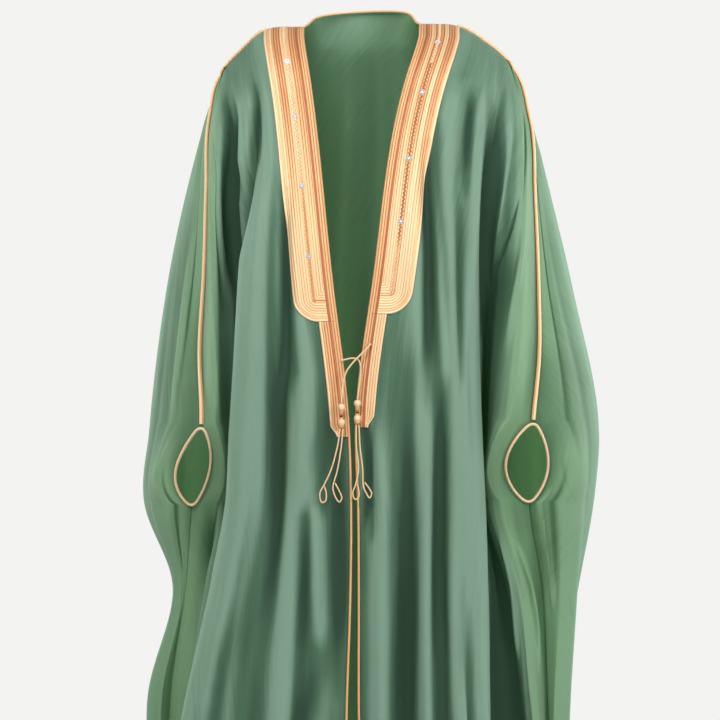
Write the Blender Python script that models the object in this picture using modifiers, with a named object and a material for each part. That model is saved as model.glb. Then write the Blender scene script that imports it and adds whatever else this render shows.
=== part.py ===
"""Bisht cloak, worn open over both shoulders. A Blender 4.5 script, in metres, +Z up.

The open front faces -Y and the wearer's left is +X. The origin is midway between the two places where the cloak
rests beside the neck. The cloak is one back panel and two front panels. Back and front meet along the shoulder
seam, which runs from the neck over the shoulder and down the arm to the cuff, and along the side seam below the
cuff. Each panel is a loft through "hang lines": the paths that the cloth takes from the shoulder seam to the hem.
"""

import math

import bmesh
import bpy
import numpy as np

CM = 0.01
MM = 0.001

# Driving sizes
LENGTH = 142 * CM  # top of the shoulder to the hem
WALL = 2 * MM  # cloth
BAND_WALL = 1.6 * MM  # embroidered band, with its backing
GAP = 0.4 * MM  # clearance between pieces that are sewn together
WIDE_BAND = 55 * MM  # width of the chest band
NARROW_BAND = 24 * MM  # width of the band below it
BAND_CORNER = 31 * MM  # how much of the wide band's end is rounded away
EDGE_CORD = 2.0 * MM  # radius of the cord round the opening
SEAM_CORD = 2.6 * MM  # radius of the cords on the shoulder seams and cuffs
ROUNDING = 10 * CM  # depth over which cloth turns from the seam to hang
LIFT = 1.7 * MM  # clearance below a cord that lies on a seam
SEAM_EASE = 2 * CM  # length over which a seam's outward direction is evened out
SLIP = 1.3 * CM  # one front hangs this much lower than the middle, and the other this much higher

SIDES = {"right": -1, "left": 1}  # the wearer's sides, and the sign of X there

# Rows of the cloth's mesh, as shares of the way from the shoulder to the hem
ROWS = np.array(
    (0, 0.011, 0.030, 0.056, 0.088, 0.125, 0.165, 0.205, 0.242)
    + (0.275, 0.290, 0.2965, 0.299)  # the rounded end of the wide band
    + (0.335, 0.375, 0.381, 0.392, 0.410, 0.430, 0.448, 0.460)  # the cuff
    + (0.530, 0.610, 0.700, 0.800, 0.900, 1.0)
)
WIDE_ROW = 12  # the wide band ends at this row
NARROW_ROW = 17  # and the narrow one at this row
WRIST_ROW = 14  # the cuff opens at this row
CUFF_ROW = 20  # and closes at this row, where the side seam starts

# The shoulder seam from the neck to the tip of the shoulder: out from the middle, back, and up, in centimetres
SHOULDER = {
    "right": ((8.4, 0.0, 0.0), (13.6, 0.0, -0.4), (17.0, 0.0, -3.2), (19.9, -0.2, -6.7)),
    "left": ((8.9, 0.0, 0.4), (14.2, 0.0, 0.1), (18.0, 0.0, -2.0), (21.9, -0.2, -5.8)),
}
# The back of the neck, between the neck ends of the two seams
NECK = ((-5.9, 4.9, 2.3), (0.0, 7.6, 3.4), (6.6, 4.7, 2.9))
# The seam down the sleeve and then the side, as out from the middle, back, and up
SIDE = {
    "right": (
        (19.9, -0.2, -6.7),  # tip of the shoulder
        (21.6, -1.5, -13.3),
        (21.9, -3.5, -23.8),
        (22.1, -6.0, -36.0),  # elbow
        (22.5, -8.5, -46.7),
        (22.1, -11.0, -57.4),  # wrist
        (23.8, -5.5, -68.0),  # foot of the cuff
        (25.2, -1.5, -81.0),
        (27.3, -1.5, -96.0),
        (28.0, -0.5, -118.0),
        (29.5, 0.0, -142.0),
    ),
    "left": (
        (21.9, -0.2, -5.8),
        (24.3, -1.2, -13.0),
        (25.0, -3.0, -25.2),
        (25.3, -6.0, -38.0),
        (25.2, -8.0, -47.5),
        (24.2, -10.0, -56.9),
        (24.0, -5.5, -68.0),
        (26.2, -2.5, -81.0),
        (27.0, -2.5, -96.0),
        (28.0, -1.0, -118.0),
        (29.5, 0.0, -142.0),
    ),
}

# Heights at which the hang lines are given, in centimetres
#          top  yoke elbow cuff  swag tuck knee  calf  hem
LEVELS = (-2, -12, -36, -58, -68, -81, -96, -118, -142)

# Hang lines: the station on the shoulder seam that each one hangs from, its distance out and its distance back
FRONT_LINES = {
    "right": {
        "edge": (0, (8.2, 6.8, 4.2, 1.7, 1.4, 1.5, 2.0, 2.3, 2.5), (-8, -9.5, -13.6, -14.6, -14.8, -15, -15.3, -15.8, -16.5)),
        "breast": (1.2, (13.5, 11.6, 10.8, 10.2, 10.2, 11, 12.5, 13.5, 14.5), (-8.5, -10, -14, -15, -15.2, -15.5, -16, -16.8, -17.5)),
        "crown": (2.1, (17, 15.6, 16.6, 17.3, 17.8, 20.8, 24.2, 26.3, 28), (-7, -8.8, -12.5, -12.8, -12.6, -12.2, -11.8, -12.2, -13)),
        "pocket": (2.6, (18.8, 18.2, 17.4, 17.4, 16.8, 17.5, 19.5, 21.5, 24), (-4.5, -6.9, -4.5, -3, 0.5, 1.5, 0, -1, -2)),
        "sleeve": (2.85, (19.6, 20.6, 20.2, 19.6, 19.4, 21.5, 24, 26, 28), (-2.5, -4.4, -9.3, -11, -5, -3.5, -4.5, -4.5, -5)),
    },
    "left": {
        "edge": (0, (8.6, 5.8, 2.2, -0.4, -0.1, 0, 0, 0.5, 1), (-8, -9.5, -13.4, -14.2, -14.4, -14.6, -15, -15.6, -16.2)),
        "breast": (1.2, (13.8, 10.8, 9.8, 9.6, 9.6, 9.6, 9.8, 10.5, 11.5), (-8.5, -10, -14, -15, -15.2, -15.5, -16, -16.8, -17.5)),
        "crown": (2.1, (18, 17, 15.8, 16.2, 16.6, 16.9, 17.3, 19, 20.5), (-7, -8.8, -12.8, -13.2, -13.2, -13.2, -13.3, -13.8, -14.5)),
        "pocket": (2.6, (20.2, 20.2, 18.4, 17.6, 17.4, 19.6, 21, 22.8, 24.5), (-4.5, -6.9, -6, -4, -2.5, -4, -5, -5.5, -6)),
        "sleeve": (2.85, (21.4, 22.9, 22.4, 19.8, 18.8, 22.8, 24.4, 26, 27.5), (-2.5, -4.2, -9.5, -10.8, -5.5, -5, -6, -6, -6.5)),
    },
}
BACK_LINES = {
    "right": {
        "cape": (2.85, (20.2, 22.1, 24.4, 27.2, 28.6, 25.9, 28.6, 28, 30), (1.5, 0, -4.5, -6, -4.5, -1, -3, -1, -1)),
        "outer": (2.5, (19.6, 22.3, 27.7, 30.4, 31.1, 27, 30.3, 28.7, 30.5), (4, 3.2, 2, 2, 1.5, 3.5, 3, 4.5, 4.5)),
        "hip": (1.9, (17, 20, 23.5, 25.2, 25.2, 23.2, 25, 25.5, 27.5), (7, 9, 11.5, 13, 13.5, 13.5, 14.5, 16.5, 18.5)),
        "blade": (0, (9.5, 10.5, 12.5, 13, 13, 12.5, 13.5, 14, 15), (9, 12.5, 16, 17.8, 18.3, 18.6, 19.5, 21, 23)),
    },
    "left": {
        "cape": (2.85, (22.2, 24.2, 27.3, 30.5, 30.3, 29.3, 28, 28, 30), (1.5, 0.3, -4, -6, -5.5, -4, -4.5, -2, -2)),
        "outer": (2.5, (21.4, 24.4, 30.8, 34.6, 33.9, 31.8, 29.4, 28.7, 30.5), (4, 3, 1.5, 2, 2, 3, 3, 4.5, 4.5)),
        "hip": (1.9, (17.6, 20.8, 25, 27.5, 27.5, 26.5, 25.5, 25.5, 27.5), (7, 9, 11.5, 13, 13.5, 13.5, 14.5, 16.5, 18.5)),
        "blade": (0, (9.5, 10.5, 12.5, 13.2, 13.2, 13, 13.5, 14, 15), (9, 12.5, 16, 17.8, 18.3, 18.6, 19.5, 21, 23)),
    },
}
CENTRE_BACK = (9.5, 11.5, 15, 17, 17.5, 18, 19, 20.5, 22.5)

# How far the cuff opens to each side of the line from the wrist to its foot, in centimetres
CUFF_OPENS = {"right": {"front": 1.8, "back": 3.4}, "left": {"front": 3.4, "back": 2.8}}

# Troughs (negative) and ridges (positive) of the fronts. "across" counts hang lines from the front edge (0) to the
# side (5). The first pair is where a fold starts and the second where it ends. A fold that ends below the hem runs
# off it. Heights, widths and depths are in centimetres, and a width is in hang lines.
FRONT_FOLDS = {
    "right": (
        # across, up,  across, up, width, depth
        (2.8, -9, 2.9, -26, 0.22, -0.5),
        (1.9, -12, 3.0, -50, 0.25, -0.9),
        (1.5, -22, 2.0, -80, 0.30, 0.8),
        (1.10, -26, 1.05, -52, 0.18, -0.9),
        (0.75, -50, 0.75, -70, 0.20, 0.7),
        (1.3, -50, 1.7, -96, 0.22, -0.9),
        (0.75, -66, 0.70, -90, 0.15, -0.8),
        (0.5, -68, 0.45, -88, 0.15, 0.7),
        (0.10, -77, 0.75, -150, 0.16, -1.6),
        (0.35, -80, 1.05, -150, 0.18, 1.0),
        (2.4, -90, 2.2, -150, 0.25, 1.1),
        (1.6, -96, 1.6, -150, 0.22, -1.2),
    ),
    "left": (
        (0.92, -17, 1.0, -50, 0.16, -1.0),
        (0.75, -45, 0.62, -150, 0.20, -1.3),
        (1.15, -14, 1.4, -50, 0.10, -0.5),
        (1.7, -9, 1.7, -26, 0.22, -0.5),
        (2.5, -10, 2.7, -40, 0.25, -0.7),
        (0.35, -48, 0.30, -150, 0.15, 0.6),
        (0.98, -50, 0.85, -150, 0.14, 0.9),
        (1.25, -50, 1.15, -90, 0.14, -0.9),
        (1.42, -72, 1.42, -150, 0.12, 0.8),
        (1.9, -50, 1.85, -150, 0.25, 0.9),
        (1.65, -80, 1.65, -150, 0.13, -1.0),
        (2.4, -95, 2.3, -150, 0.25, -1.1),
    ),
}
# The back's folds. "across" counts hang lines from the wearer's right side (0) to the left side (10).
BACK_FOLDS = (
    (1.3, -60, 1.2, -150, 0.25, 0.8),
    (2.5, -70, 2.5, -150, 0.25, -1.0),
    (3.3, -20, 3.0, -150, 0.28, 1.1),
    (4.0, -25, 3.9, -150, 0.25, -1.2),
    (4.6, -10, 4.6, -150, 0.25, 1.0),
    (5.1, -30, 5.2, -150, 0.22, -1.1),
    (5.7, -14, 5.7, -150, 0.25, 1.1),
    (6.3, -25, 6.3, -150, 0.22, -1.2),
    (6.9, -40, 7.0, -150, 0.25, 1.0),
    (7.6, -60, 7.6, -150, 0.25, -1.0),
    (8.7, -60, 8.8, -150, 0.25, 0.9),
)

BAND_COLUMNS = 4  # columns of the mesh across the band
CLOTH_COLUMNS = 17  # and from the band to the side
NECK_COLUMNS = 8  # and across the back of the neck

# The two ties, in centimetres: out from the middle, back, and up. Each starts at one band and ends at a spool.
TIES = {
    "left": ((1.5, -14.6, -45.9), (0.6, -15.1, -46.9), (-0.8, -15.6, -48.3), (-1.9, -15.8, -49.8), (-2.4, -15.9, -51.8), (-2.55, -15.9, -54.0)),
    "right": ((-2.6, -14.9, -48.2), (-1.0, -15.0, -47.9), (-0.1, -15.0, -48.3), (0.1, -15.1, -49.8), (-0.1, -15.2, -51.6), (-0.34, -15.2, -53.5)),
}
TIE_RADIUS = 1.5 * MM
SPOOLS = {"left": (-2.55, -15.9, -54.15, 3.4), "right": (-0.34, -15.2, -53.65, 3.4)}  # out, back, top, length
SPOOL_PROFILE = ((0.0, 1.6), (0.06, 3.4), (0.20, 4.6), (0.34, 3.9), (0.42, 2.9), (0.58, 2.9), (0.66, 3.9), (0.80, 4.6), (0.94, 3.4), (1.0, 1.6))
TAILS = {
    "left_a": ((-2.75, -15.95, -57.75), (-3.1, -16.1, -60.0), (-3.9, -16.3, -63.0), (-4.9, -16.4, -65.6), (-5.1, -16.4, -67.0)),
    "left_b": ((-2.35, -15.95, -57.75), (-2.6, -16.1, -60.2), (-3.1, -16.3, -63.2), (-3.5, -16.4, -65.6), (-3.2, -16.4, -66.9)),
    "right_a": ((-0.54, -15.25, -57.25), (-0.5, -15.3, -60.0), (-0.2, -15.4, -63.0), (-0.5, -15.5, -65.4), (-0.7, -15.5, -66.8)),
    "right_b": ((-0.14, -15.25, -57.25), (0.0, -15.3, -60.0), (0.35, -15.4, -63.0), (0.35, -15.5, -65.4), (0.5, -15.5, -66.9)),
}


def smooth(at, values, where):
    """Smooth curve through a table: values given at rising positions, read off at other positions."""
    at, values, where = np.asarray(at, float), np.asarray(values, float), np.asarray(where, float)
    slope = np.gradient(values, at, axis=0)
    k = np.clip(np.searchsorted(at, where, side="right") - 1, 0, len(at) - 2)
    span = at[k + 1] - at[k]
    t = (where - at[k]) / span
    shape = t.shape + (1,) * (values.ndim - 1)
    t, span = t.reshape(shape), span.reshape(shape)
    return (
        (2 * t**3 - 3 * t**2 + 1) * values[k]
        + (t**3 - 2 * t**2 + t) * span * slope[k]
        + (3 * t**2 - 2 * t**3) * values[k + 1]
        + (t**3 - t**2) * span * slope[k + 1]
    )


def ease(x):
    """0 below 0, 1 above 1, and a soft step between."""
    x = np.clip(x, 0, 1)
    return x * x * (3 - 2 * x)


class Panel:
    """One panel of cloth, as a surface through its hang lines. across counts hang lines and down runs 0 to 1."""

    def __init__(self, top, stations, lines, folds, hems, facing, sides):
        self.seam = np.array(top) * CM  # points of the seam or neck that the panel hangs from
        self.seam_at = np.arange(len(top))
        self.stations = stations
        self.paths = [(-np.array(ups, float), np.array(outs) * CM, np.array(backs) * CM) for outs, backs, ups in lines]
        self.folds, self.hems, self.facing = folds, np.array(hems), facing
        self.lines = np.arange(len(stations))
        self.sides = sides  # for each side seam, its line, the way into the panel, and how far its cuff opens

    def place(self, line, up):
        """Out and back of one hang line at each height."""
        at, outs, backs = self.paths[line]
        level = np.clip(-up / CM, at[0], at[-1] + 3)
        return smooth(at, outs, level), smooth(at, backs, level)

    def plain(self, across, down):
        """Points of the surface before it is folded. across and down have the same shape."""
        top = smooth(self.seam_at, self.seam, smooth(self.lines, self.stations, across))
        hem = np.interp(across, self.lines, self.hems)
        up = top[..., 2] + (hem - top[..., 2]) * down
        share = smooth(self.lines, np.eye(len(self.lines)), across)
        placed = [self.place(line, up) for line in self.lines]
        out = sum(share[..., line] * placed[line][0] for line in self.lines)
        back = sum(share[..., line] * placed[line][1] for line in self.lines)
        drop = np.clip((top[..., 2] - up) / ROUNDING, 0, 1)
        turn = np.sqrt(1 - (1 - drop) ** 2)
        for line, step, opens in self.sides:
            turn = turn + (1 - turn) * ease(1 - np.abs(across - line))
        points = np.stack((top[..., 0] + (out - top[..., 0]) * turn, top[..., 1] + (back - top[..., 1]) * turn, up), -1)
        for line, step, opens in self.sides:
            inward = np.stack((placed[line + step][0] - placed[line][0], placed[line + step][1] - placed[line][1]), -1)
            inward = inward / np.maximum(np.linalg.norm(inward, axis=-1, keepdims=True), 1e-6)
            near = ease(1 - np.abs(across - line) / 1.8)
            swell = np.sin(np.pi * np.clip((down - ROWS[WRIST_ROW]) / (ROWS[CUFF_ROW] - ROWS[WRIST_ROW]), 0, 1)) ** 0.7
            points[..., :2] += inward * (opens * CM * near * swell)[..., None]
        return points

    def facing_out(self, surface, across, down, step=1e-3):
        """Outward directions of a surface of this panel."""
        last = self.lines[-1]
        along = surface(np.minimum(across + step, last), down) - surface(np.maximum(across - step, 0), down)
        below = surface(across, np.minimum(down + step, 1)) - surface(across, np.maximum(down - step, 0))
        return unit(np.cross(along, below)) * self.facing

    def surface(self, across, down):
        points = self.plain(across, down)
        push = np.zeros(across.shape)
        for start, start_up, end, end_up, width, depth in self.folds:
            t = (points[..., 2] / CM - start_up) / (end_up - start_up)
            middle = start + (end - start) * t
            lasts = 4 * np.clip(t, 0, 1) * (1 - np.clip(t, 0, 1)) if end_up > -142 else ease(t * 2.2)
            push += depth * CM * lasts * np.exp(-(((across - middle) / width) ** 2))
        level = unit(self.facing_out(self.plain, across, down) * (1, 1, 0))
        return points + level * (push * ease(down * 12))[..., None]


def unit(vector):
    return vector / np.maximum(np.linalg.norm(vector, axis=-1, keepdims=True), 1e-12)


def columns_of(rows):
    return tuple(zip(*rows))


def mirrored(values, sign):
    return tuple(value * sign for value in values)


def front_panel(side):
    sign = SIDES[side]
    lines = [(mirrored(out, sign), back, LEVELS) for station, out, back in FRONT_LINES[side].values()]
    out, back, up = columns_of(SHOULDER[side][-2:-1] + SIDE[side])
    lines.append((mirrored(out, sign), back, up))
    hems = -LENGTH + sign * SLIP * np.array((1, 1, 0.8, 0.4, 0.1, 0))
    return Panel(
        [(out * sign, back, up) for out, back, up in SHOULDER[side] + SIDE[side][1:2]],
        [row[0] for row in FRONT_LINES[side].values()] + [3],
        lines,
        FRONT_FOLDS[side],
        hems,
        -sign,
        [(5, -1, CUFF_OPENS[side]["front"])],
    )


def back_panel():
    """The back runs from the tip of the right shoulder, round the neck and out to the tip of the left shoulder."""
    seams = {side: SHOULDER[side] + SIDE[side][1:2] for side in SIDES}
    top = [(-out, back, up) for out, back, up in reversed(seams["right"])] + list(NECK) + list(seams["left"])
    right, left = BACK_LINES["right"].values(), list(BACK_LINES["left"].values())[::-1]
    stations = [1] + [4 - row[0] for row in right] + [6] + [8 + row[0] for row in left] + [11]
    sides = {side: columns_of(SHOULDER[side][-2:-1] + SIDE[side]) for side in SIDES}
    lines = [(mirrored(sides["right"][0], -1), sides["right"][1], sides["right"][2])]
    lines += [(mirrored(row[1], -1), row[2], LEVELS) for row in right]
    lines += [((0,) * len(LEVELS), CENTRE_BACK, LEVELS)]
    lines += [(row[1], row[2], LEVELS) for row in left] + [sides["left"]]
    openings = [(0, 1, CUFF_OPENS["right"]["back"]), (10, -1, CUFF_OPENS["left"]["back"])]
    return Panel(top, stations, lines, BACK_FOLDS, [-LENGTH] * 11, 1, openings)


def band_width(down):
    """Width of the embroidery from the front edge. The wide band ends in a quarter round, down to the narrow one."""
    up = (ROWS[WIDE_ROW] - down) * LENGTH / BAND_CORNER
    inset = 1 - np.sqrt(1 - (1 - np.clip(up, 0, 1)) ** 2)
    return WIDE_BAND - (WIDE_BAND - NARROW_BAND) * inset


def front_columns(panel):
    """Where each column of a front's mesh crosses each row. The first columns follow the embroidery."""
    rows = []
    for down in ROWS:
        fine = np.linspace(0, 5, 401)
        path = panel.surface(fine, np.full(401, down))
        length = np.concatenate(((0,), np.cumsum(np.linalg.norm(np.diff(path, axis=0), axis=1))))
        band = np.interp(band_width(down) * np.linspace(0, 1, BAND_COLUMNS + 1), length, fine)
        wide = np.interp(WIDE_BAND, length, fine)
        cloth = np.linspace(wide, 5, CLOTH_COLUMNS + 1)[1:]
        cloth[:3] += (band[-1] - wide) * np.array((0.75, 0.5, 0.25))
        rows.append(np.concatenate((band, cloth)))
    return np.array(rows)


# The three panels, as grids of points and of outward directions
panels = {side: front_panel(side) for side in SIDES}
panels["back"] = back_panel()
across = {side: front_columns(panels[side]) for side in SIDES}

# The back's columns meet the fronts' columns along the shoulder seams, with a few more across the neck
stations = {side: smooth(panels[side].lines, panels[side].stations, across[side][0]) for side in SIDES}
at_back = np.concatenate((4 - stations["right"][::-1], np.linspace(4, 8, NECK_COLUMNS + 2)[1:-1], 8 + stations["left"]))
fine = np.linspace(0, 10, 2001)
line_at = np.interp(at_back, smooth(panels["back"].lines, panels["back"].stations, fine), fine)
across["back"] = np.repeat(line_at[None, :], len(ROWS), axis=0)

points, normals = {}, {}
for name, panel in panels.items():
    down = np.repeat(ROWS[:, None], across[name].shape[1], axis=1)
    points[name] = panel.surface(across[name], down)
    normals[name] = panel.facing_out(panel.surface, across[name], down)

# Where a front meets the back they share points and an outward direction, and each is trimmed back by half the
# clearance. The seam runs along row 0 and then down the last column, and is left open at the cuff.
COUNT = BAND_COLUMNS + CLOTH_COLUMNS + 1
seam_columns = {"right": np.arange(COUNT)[::-1], "left": np.arange(COUNT) + len(line_at) - COUNT}
side_column = {"right": 0, "left": -1}
seam_points, seam_normals = {}, {}
for side, sign in SIDES.items():
    columns, edge = seam_columns[side], side_column[side]
    last = len(ROWS) - 1
    front_at = [(0, column) for column in range(COUNT)] + [(row, COUNT - 1) for row in range(1, last + 1)]
    back_at = [(0, column) for column in columns] + [(row, edge) for row in range(1, last + 1)]
    front_at, back_at = tuple(np.array(front_at).T), tuple(np.array(back_at).T)
    path = points[side][front_at]
    shared = unit(normals[side][front_at] + normals["back"][back_at])
    corner = COUNT - 1
    length = np.concatenate(((0,), np.cumsum(np.linalg.norm(np.diff(path, axis=0), axis=1))))
    weight = np.exp(-(((length[:, None] - length[None, :]) / SEAM_EASE) ** 2)) * np.gradient(length)
    shared = unit(weight @ shared)
    trim = unit(np.cross(unit(np.gradient(path, axis=0)), shared)) * sign * (GAP / 2)
    open_rows = np.zeros(len(path), bool)
    open_rows[corner + WRIST_ROW + 1 : corner + CUFF_ROW] = True
    keep = ~open_rows
    front_keep, back_keep = tuple(index[keep] for index in front_at), tuple(index[keep] for index in back_at)
    points[side][front_keep] = path[keep] + trim[keep]
    points["back"][back_keep] = path[keep] - trim[keep]
    normals[side][front_keep], normals["back"][back_keep] = shared[keep], shared[keep]
    seam_points[side], seam_normals[side] = path, shared

for thing in list(bpy.data.objects):
    bpy.data.objects.remove(thing, do_unlink=True)
collection = bpy.data.collections.new("bisht")
bpy.context.scene.collection.children.link(collection)


def material(name, color, roughness, metallic=0.0):
    made = bpy.data.materials.new(name)
    made.use_nodes = True
    shader = made.node_tree.nodes["Principled BSDF"]
    shader.inputs["Base Color"].default_value = (*color, 1.0)
    shader.inputs["Roughness"].default_value = roughness
    shader.inputs["Metallic"].default_value = metallic
    return made


voile = material("green voile", (0.075, 0.13, 0.095), 0.75)
zari = material("gold zari", (0.62, 0.40, 0.13), 0.42, 0.5)
cord = material("gold cord", (0.70, 0.52, 0.22), 0.5, 0.4)
silk = material("green and gold silk", (0.30, 0.27, 0.10), 0.6, 0.1)


def sheet(name, grid, toward, thickness, finish):
    """Closed sheet on a grid of points: a flat grid laid on the points, then extruded along toward."""
    rows, columns = grid.shape[:2]
    shape = bmesh.new()
    bmesh.ops.create_grid(shape, x_segments=columns - 1, y_segments=rows - 1, size=1)
    cell = shape.verts.layers.int.new("cell")
    for vert in shape.verts:
        column = round((vert.co.x + 1) / 2 * (columns - 1))
        row = round((vert.co.y + 1) / 2 * (rows - 1))
        vert[cell] = row * columns + column
    spots, ways = grid.reshape(-1, 3), toward.reshape(-1, 3)
    for vert in shape.verts:
        vert.co = spots[vert[cell]]
    made = bmesh.ops.extrude_face_region(shape, geom=shape.faces[:], use_keep_orig=True)
    for part in made["geom"]:
        if isinstance(part, bmesh.types.BMVert):
            part.co = spots[part[cell]] + ways[part[cell]] * thickness
    bmesh.ops.triangulate(shape, faces=shape.faces[:])
    bmesh.ops.recalc_face_normals(shape, faces=shape.faces[:])
    mesh = bpy.data.meshes.new(name)
    shape.to_mesh(mesh)
    shape.free()
    mesh.materials.append(finish)
    mesh.shade_smooth()
    mesh.set_sharp_from_angle(angle=math.radians(50))
    thing = bpy.data.objects.new(name, mesh)
    collection.objects.link(thing)
    return thing


def tube(name, path, radius, finish, closed=False):
    """Round cord through a row of points."""
    curve = bpy.data.curves.new(name, "CURVE")
    curve.dimensions = "3D"
    spline = curve.splines.new("POLY")
    spline.points.add(len(path) - 1)
    for point, spot in zip(spline.points, path):
        point.co = (*spot, 1.0)
    spline.use_cyclic_u = closed
    curve.bevel_depth = radius
    curve.bevel_resolution = 2
    curve.use_fill_caps = not closed
    curve.materials.append(finish)
    thing = bpy.data.objects.new(name, curve)
    collection.objects.link(thing)
    return thing


def spaced(path, least):
    """The points of a path that lie at least this far apart."""
    kept = [path[0]]
    for spot in path[1:]:
        if np.linalg.norm(spot - kept[-1]) > least:
            kept.append(spot)
    return np.array(kept)


def through(spots, count):
    """Rounded path through a few points."""
    at = np.arange(len(spots))
    return smooth(at, np.array(spots, float), np.linspace(0, len(spots) - 1, count))


# Cloth
sheet("back", points["back"], -normals["back"], WALL, voile)
for side in SIDES:
    sheet("front_" + side, points[side], -normals[side], WALL, voile)

# Embroidery, on the panel's own points
for side in SIDES:
    for name, rows in (("zari_band_", slice(0, WIDE_ROW + 1)), ("zari_strip_", slice(WIDE_ROW, NARROW_ROW + 1))):
        grid = points[side][rows, : BAND_COLUMNS + 1].copy()
        toward = normals[side][rows, : BAND_COLUMNS + 1]
        if name == "zari_strip_":
            grid[0] += unit(grid[1] - grid[0]) * GAP
        sheet(name + side, grid + toward * GAP, toward, BAND_WALL, zari)

# Cords round the opening: beside each front edge, and along the back of the neck
for side in SIDES:
    inward = unit(points[side][:, 1] - points[side][:, 0])
    path = points[side][:, 0] - inward * (EDGE_CORD + GAP) - normals[side][:, 0] * (WALL / 4)
    path[0] = path[0] * 0.4 + path[1] * 0.6
    tube("front_cord_" + side, path, EDGE_CORD, cord)
neck = slice(COUNT - 1, len(line_at) - COUNT + 1)
inward = unit(points["back"][1, neck] - points["back"][0, neck])
path = points["back"][0, neck] - inward * (EDGE_CORD + LIFT) - normals["back"][0, neck] * (WALL / 2)
path[0], path[-1] = path[0] * 0.5 + path[1] * 0.5, path[-1] * 0.5 + path[-2] * 0.5
tube("neck_cord", path, EDGE_CORD, cord)

# Cords on the shoulder and sleeve seams, from the band to the cuff
for side in SIDES:
    path = seam_points[side] + seam_normals[side] * (SEAM_CORD + LIFT)
    path[BAND_COLUMNS] = path[BAND_COLUMNS] * 0.9 + path[BAND_COLUMNS + 1] * 0.1  # clear of the band's end
    tube("shoulder_cord_" + side, spaced(path[BAND_COLUMNS : COUNT - 1 + WRIST_ROW], 13 * MM), SEAM_CORD, cord)

# Cords round the cuffs
for side in SIDES:
    rows = slice(WRIST_ROW, CUFF_ROW + 1)
    front = points[side][rows, -1] + normals[side][rows, -1] * (SEAM_CORD + LIFT)
    rear = points["back"][rows, side_column[side]] + normals["back"][rows, side_column[side]] * (SEAM_CORD + LIFT)
    tube("cuff_cord_" + side, np.concatenate((front[:-1], rear[::-1][:-1])), SEAM_CORD, cord, closed=True)

# Ties
for side, spots in TIES.items():
    tube("tie_cord_" + side, through(spots, 16) * CM, TIE_RADIUS, silk)
for side, (out, rear, top, length) in SPOOLS.items():
    mesh = bpy.data.meshes.new("tie_spool_" + side)
    shape = bmesh.new()
    profile = [(radius * MM, 0, -share * length * CM) for share, radius in SPOOL_PROFILE]
    verts = [shape.verts.new(spot) for spot in profile]
    ends = [shape.verts.new((0, 0, 0)), shape.verts.new((0, 0, -length * CM))]
    for first, second in zip([ends[0]] + verts, verts + [ends[1]]):
        shape.edges.new((first, second))
    shape.to_mesh(mesh)
    shape.free()
    spool = bpy.data.objects.new("tie_spool_" + side, mesh)
    spool.location = (out * CM, rear * CM, top * CM)
    collection.objects.link(spool)
    turn = spool.modifiers.new("turn", "SCREW")
    turn.angle, turn.axis = math.radians(360), "Z"
    turn.steps = turn.render_steps = 16
    turn.use_merge_vertices, turn.merge_threshold = True, 0.00001
    mesh.materials.append(cord)
for name, spots in TAILS.items():
    tube("tie_tail_" + name, through(spots, 12) * CM, 1.2 * MM, silk)
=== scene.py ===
# %% [markdown]
# # A bisht cloak
# A bisht is a loose, sheer cloak that rests on both shoulders and hangs open at the front. This lesson builds its
# cloth, its embroidered bands, its cords and its ties, as they hang when the cloak is worn.
# The solids of the piece come first, as a fixed frame that the fine surfaces are laid on.

# %% Load the frame
import math

import bmesh
import bpy
import numpy as np
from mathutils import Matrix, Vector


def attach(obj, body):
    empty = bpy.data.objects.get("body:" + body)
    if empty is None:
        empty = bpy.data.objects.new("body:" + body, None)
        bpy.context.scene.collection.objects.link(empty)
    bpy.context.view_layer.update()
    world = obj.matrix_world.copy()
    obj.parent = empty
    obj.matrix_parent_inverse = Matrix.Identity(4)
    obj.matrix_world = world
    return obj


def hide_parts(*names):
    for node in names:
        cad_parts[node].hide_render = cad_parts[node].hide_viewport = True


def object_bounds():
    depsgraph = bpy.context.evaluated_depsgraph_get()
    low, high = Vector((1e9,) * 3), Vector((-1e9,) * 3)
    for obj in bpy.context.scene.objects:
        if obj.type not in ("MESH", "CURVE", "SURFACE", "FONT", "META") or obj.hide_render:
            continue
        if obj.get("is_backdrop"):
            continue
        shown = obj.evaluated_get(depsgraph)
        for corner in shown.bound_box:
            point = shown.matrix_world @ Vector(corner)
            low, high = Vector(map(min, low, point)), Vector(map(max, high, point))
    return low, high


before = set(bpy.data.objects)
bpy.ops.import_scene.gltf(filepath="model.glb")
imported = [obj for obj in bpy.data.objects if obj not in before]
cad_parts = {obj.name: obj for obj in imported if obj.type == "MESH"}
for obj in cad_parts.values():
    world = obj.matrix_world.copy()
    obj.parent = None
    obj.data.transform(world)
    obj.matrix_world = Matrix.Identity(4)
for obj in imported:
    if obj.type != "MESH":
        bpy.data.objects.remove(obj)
solid_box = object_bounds()
print("nodes:", len(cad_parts), "box:", [[round(float(x), 3) for x in corner] for corner in solid_box])

CM = 0.01
MM = 0.001

# %% [markdown]
# ## Camera
# A long lens from three metres away, level with the middle of the chest, keeps the bands and cuffs in proportion.

# %% Camera
DISTANCE = 3.0
VIEW_WIDTH = 1.044  # width that is seen at the wearer's side seams
SENSOR = 36  # mm


def put_in_scene(name, data):
    """Object that holds the data, linked to the scene."""
    made = bpy.data.objects.new(name, data)
    bpy.context.scene.collection.objects.link(made)
    return made


lens = bpy.data.cameras.new("camera")
lens.sensor_width = SENSOR
lens.lens = SENSOR * DISTANCE / VIEW_WIDTH
camera = put_in_scene("camera", lens)
camera.location = (0, -DISTANCE, -0.4814)
camera.rotation_euler = (math.pi / 2, 0, 0)
bpy.context.scene.camera = camera
print("lens", round(lens.lens, 1), "mm")

# %% [markdown]
# ## Small helpers
# Most pieces are grids of points or paths of points. These helpers turn both into meshes, and set up materials.

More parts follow.
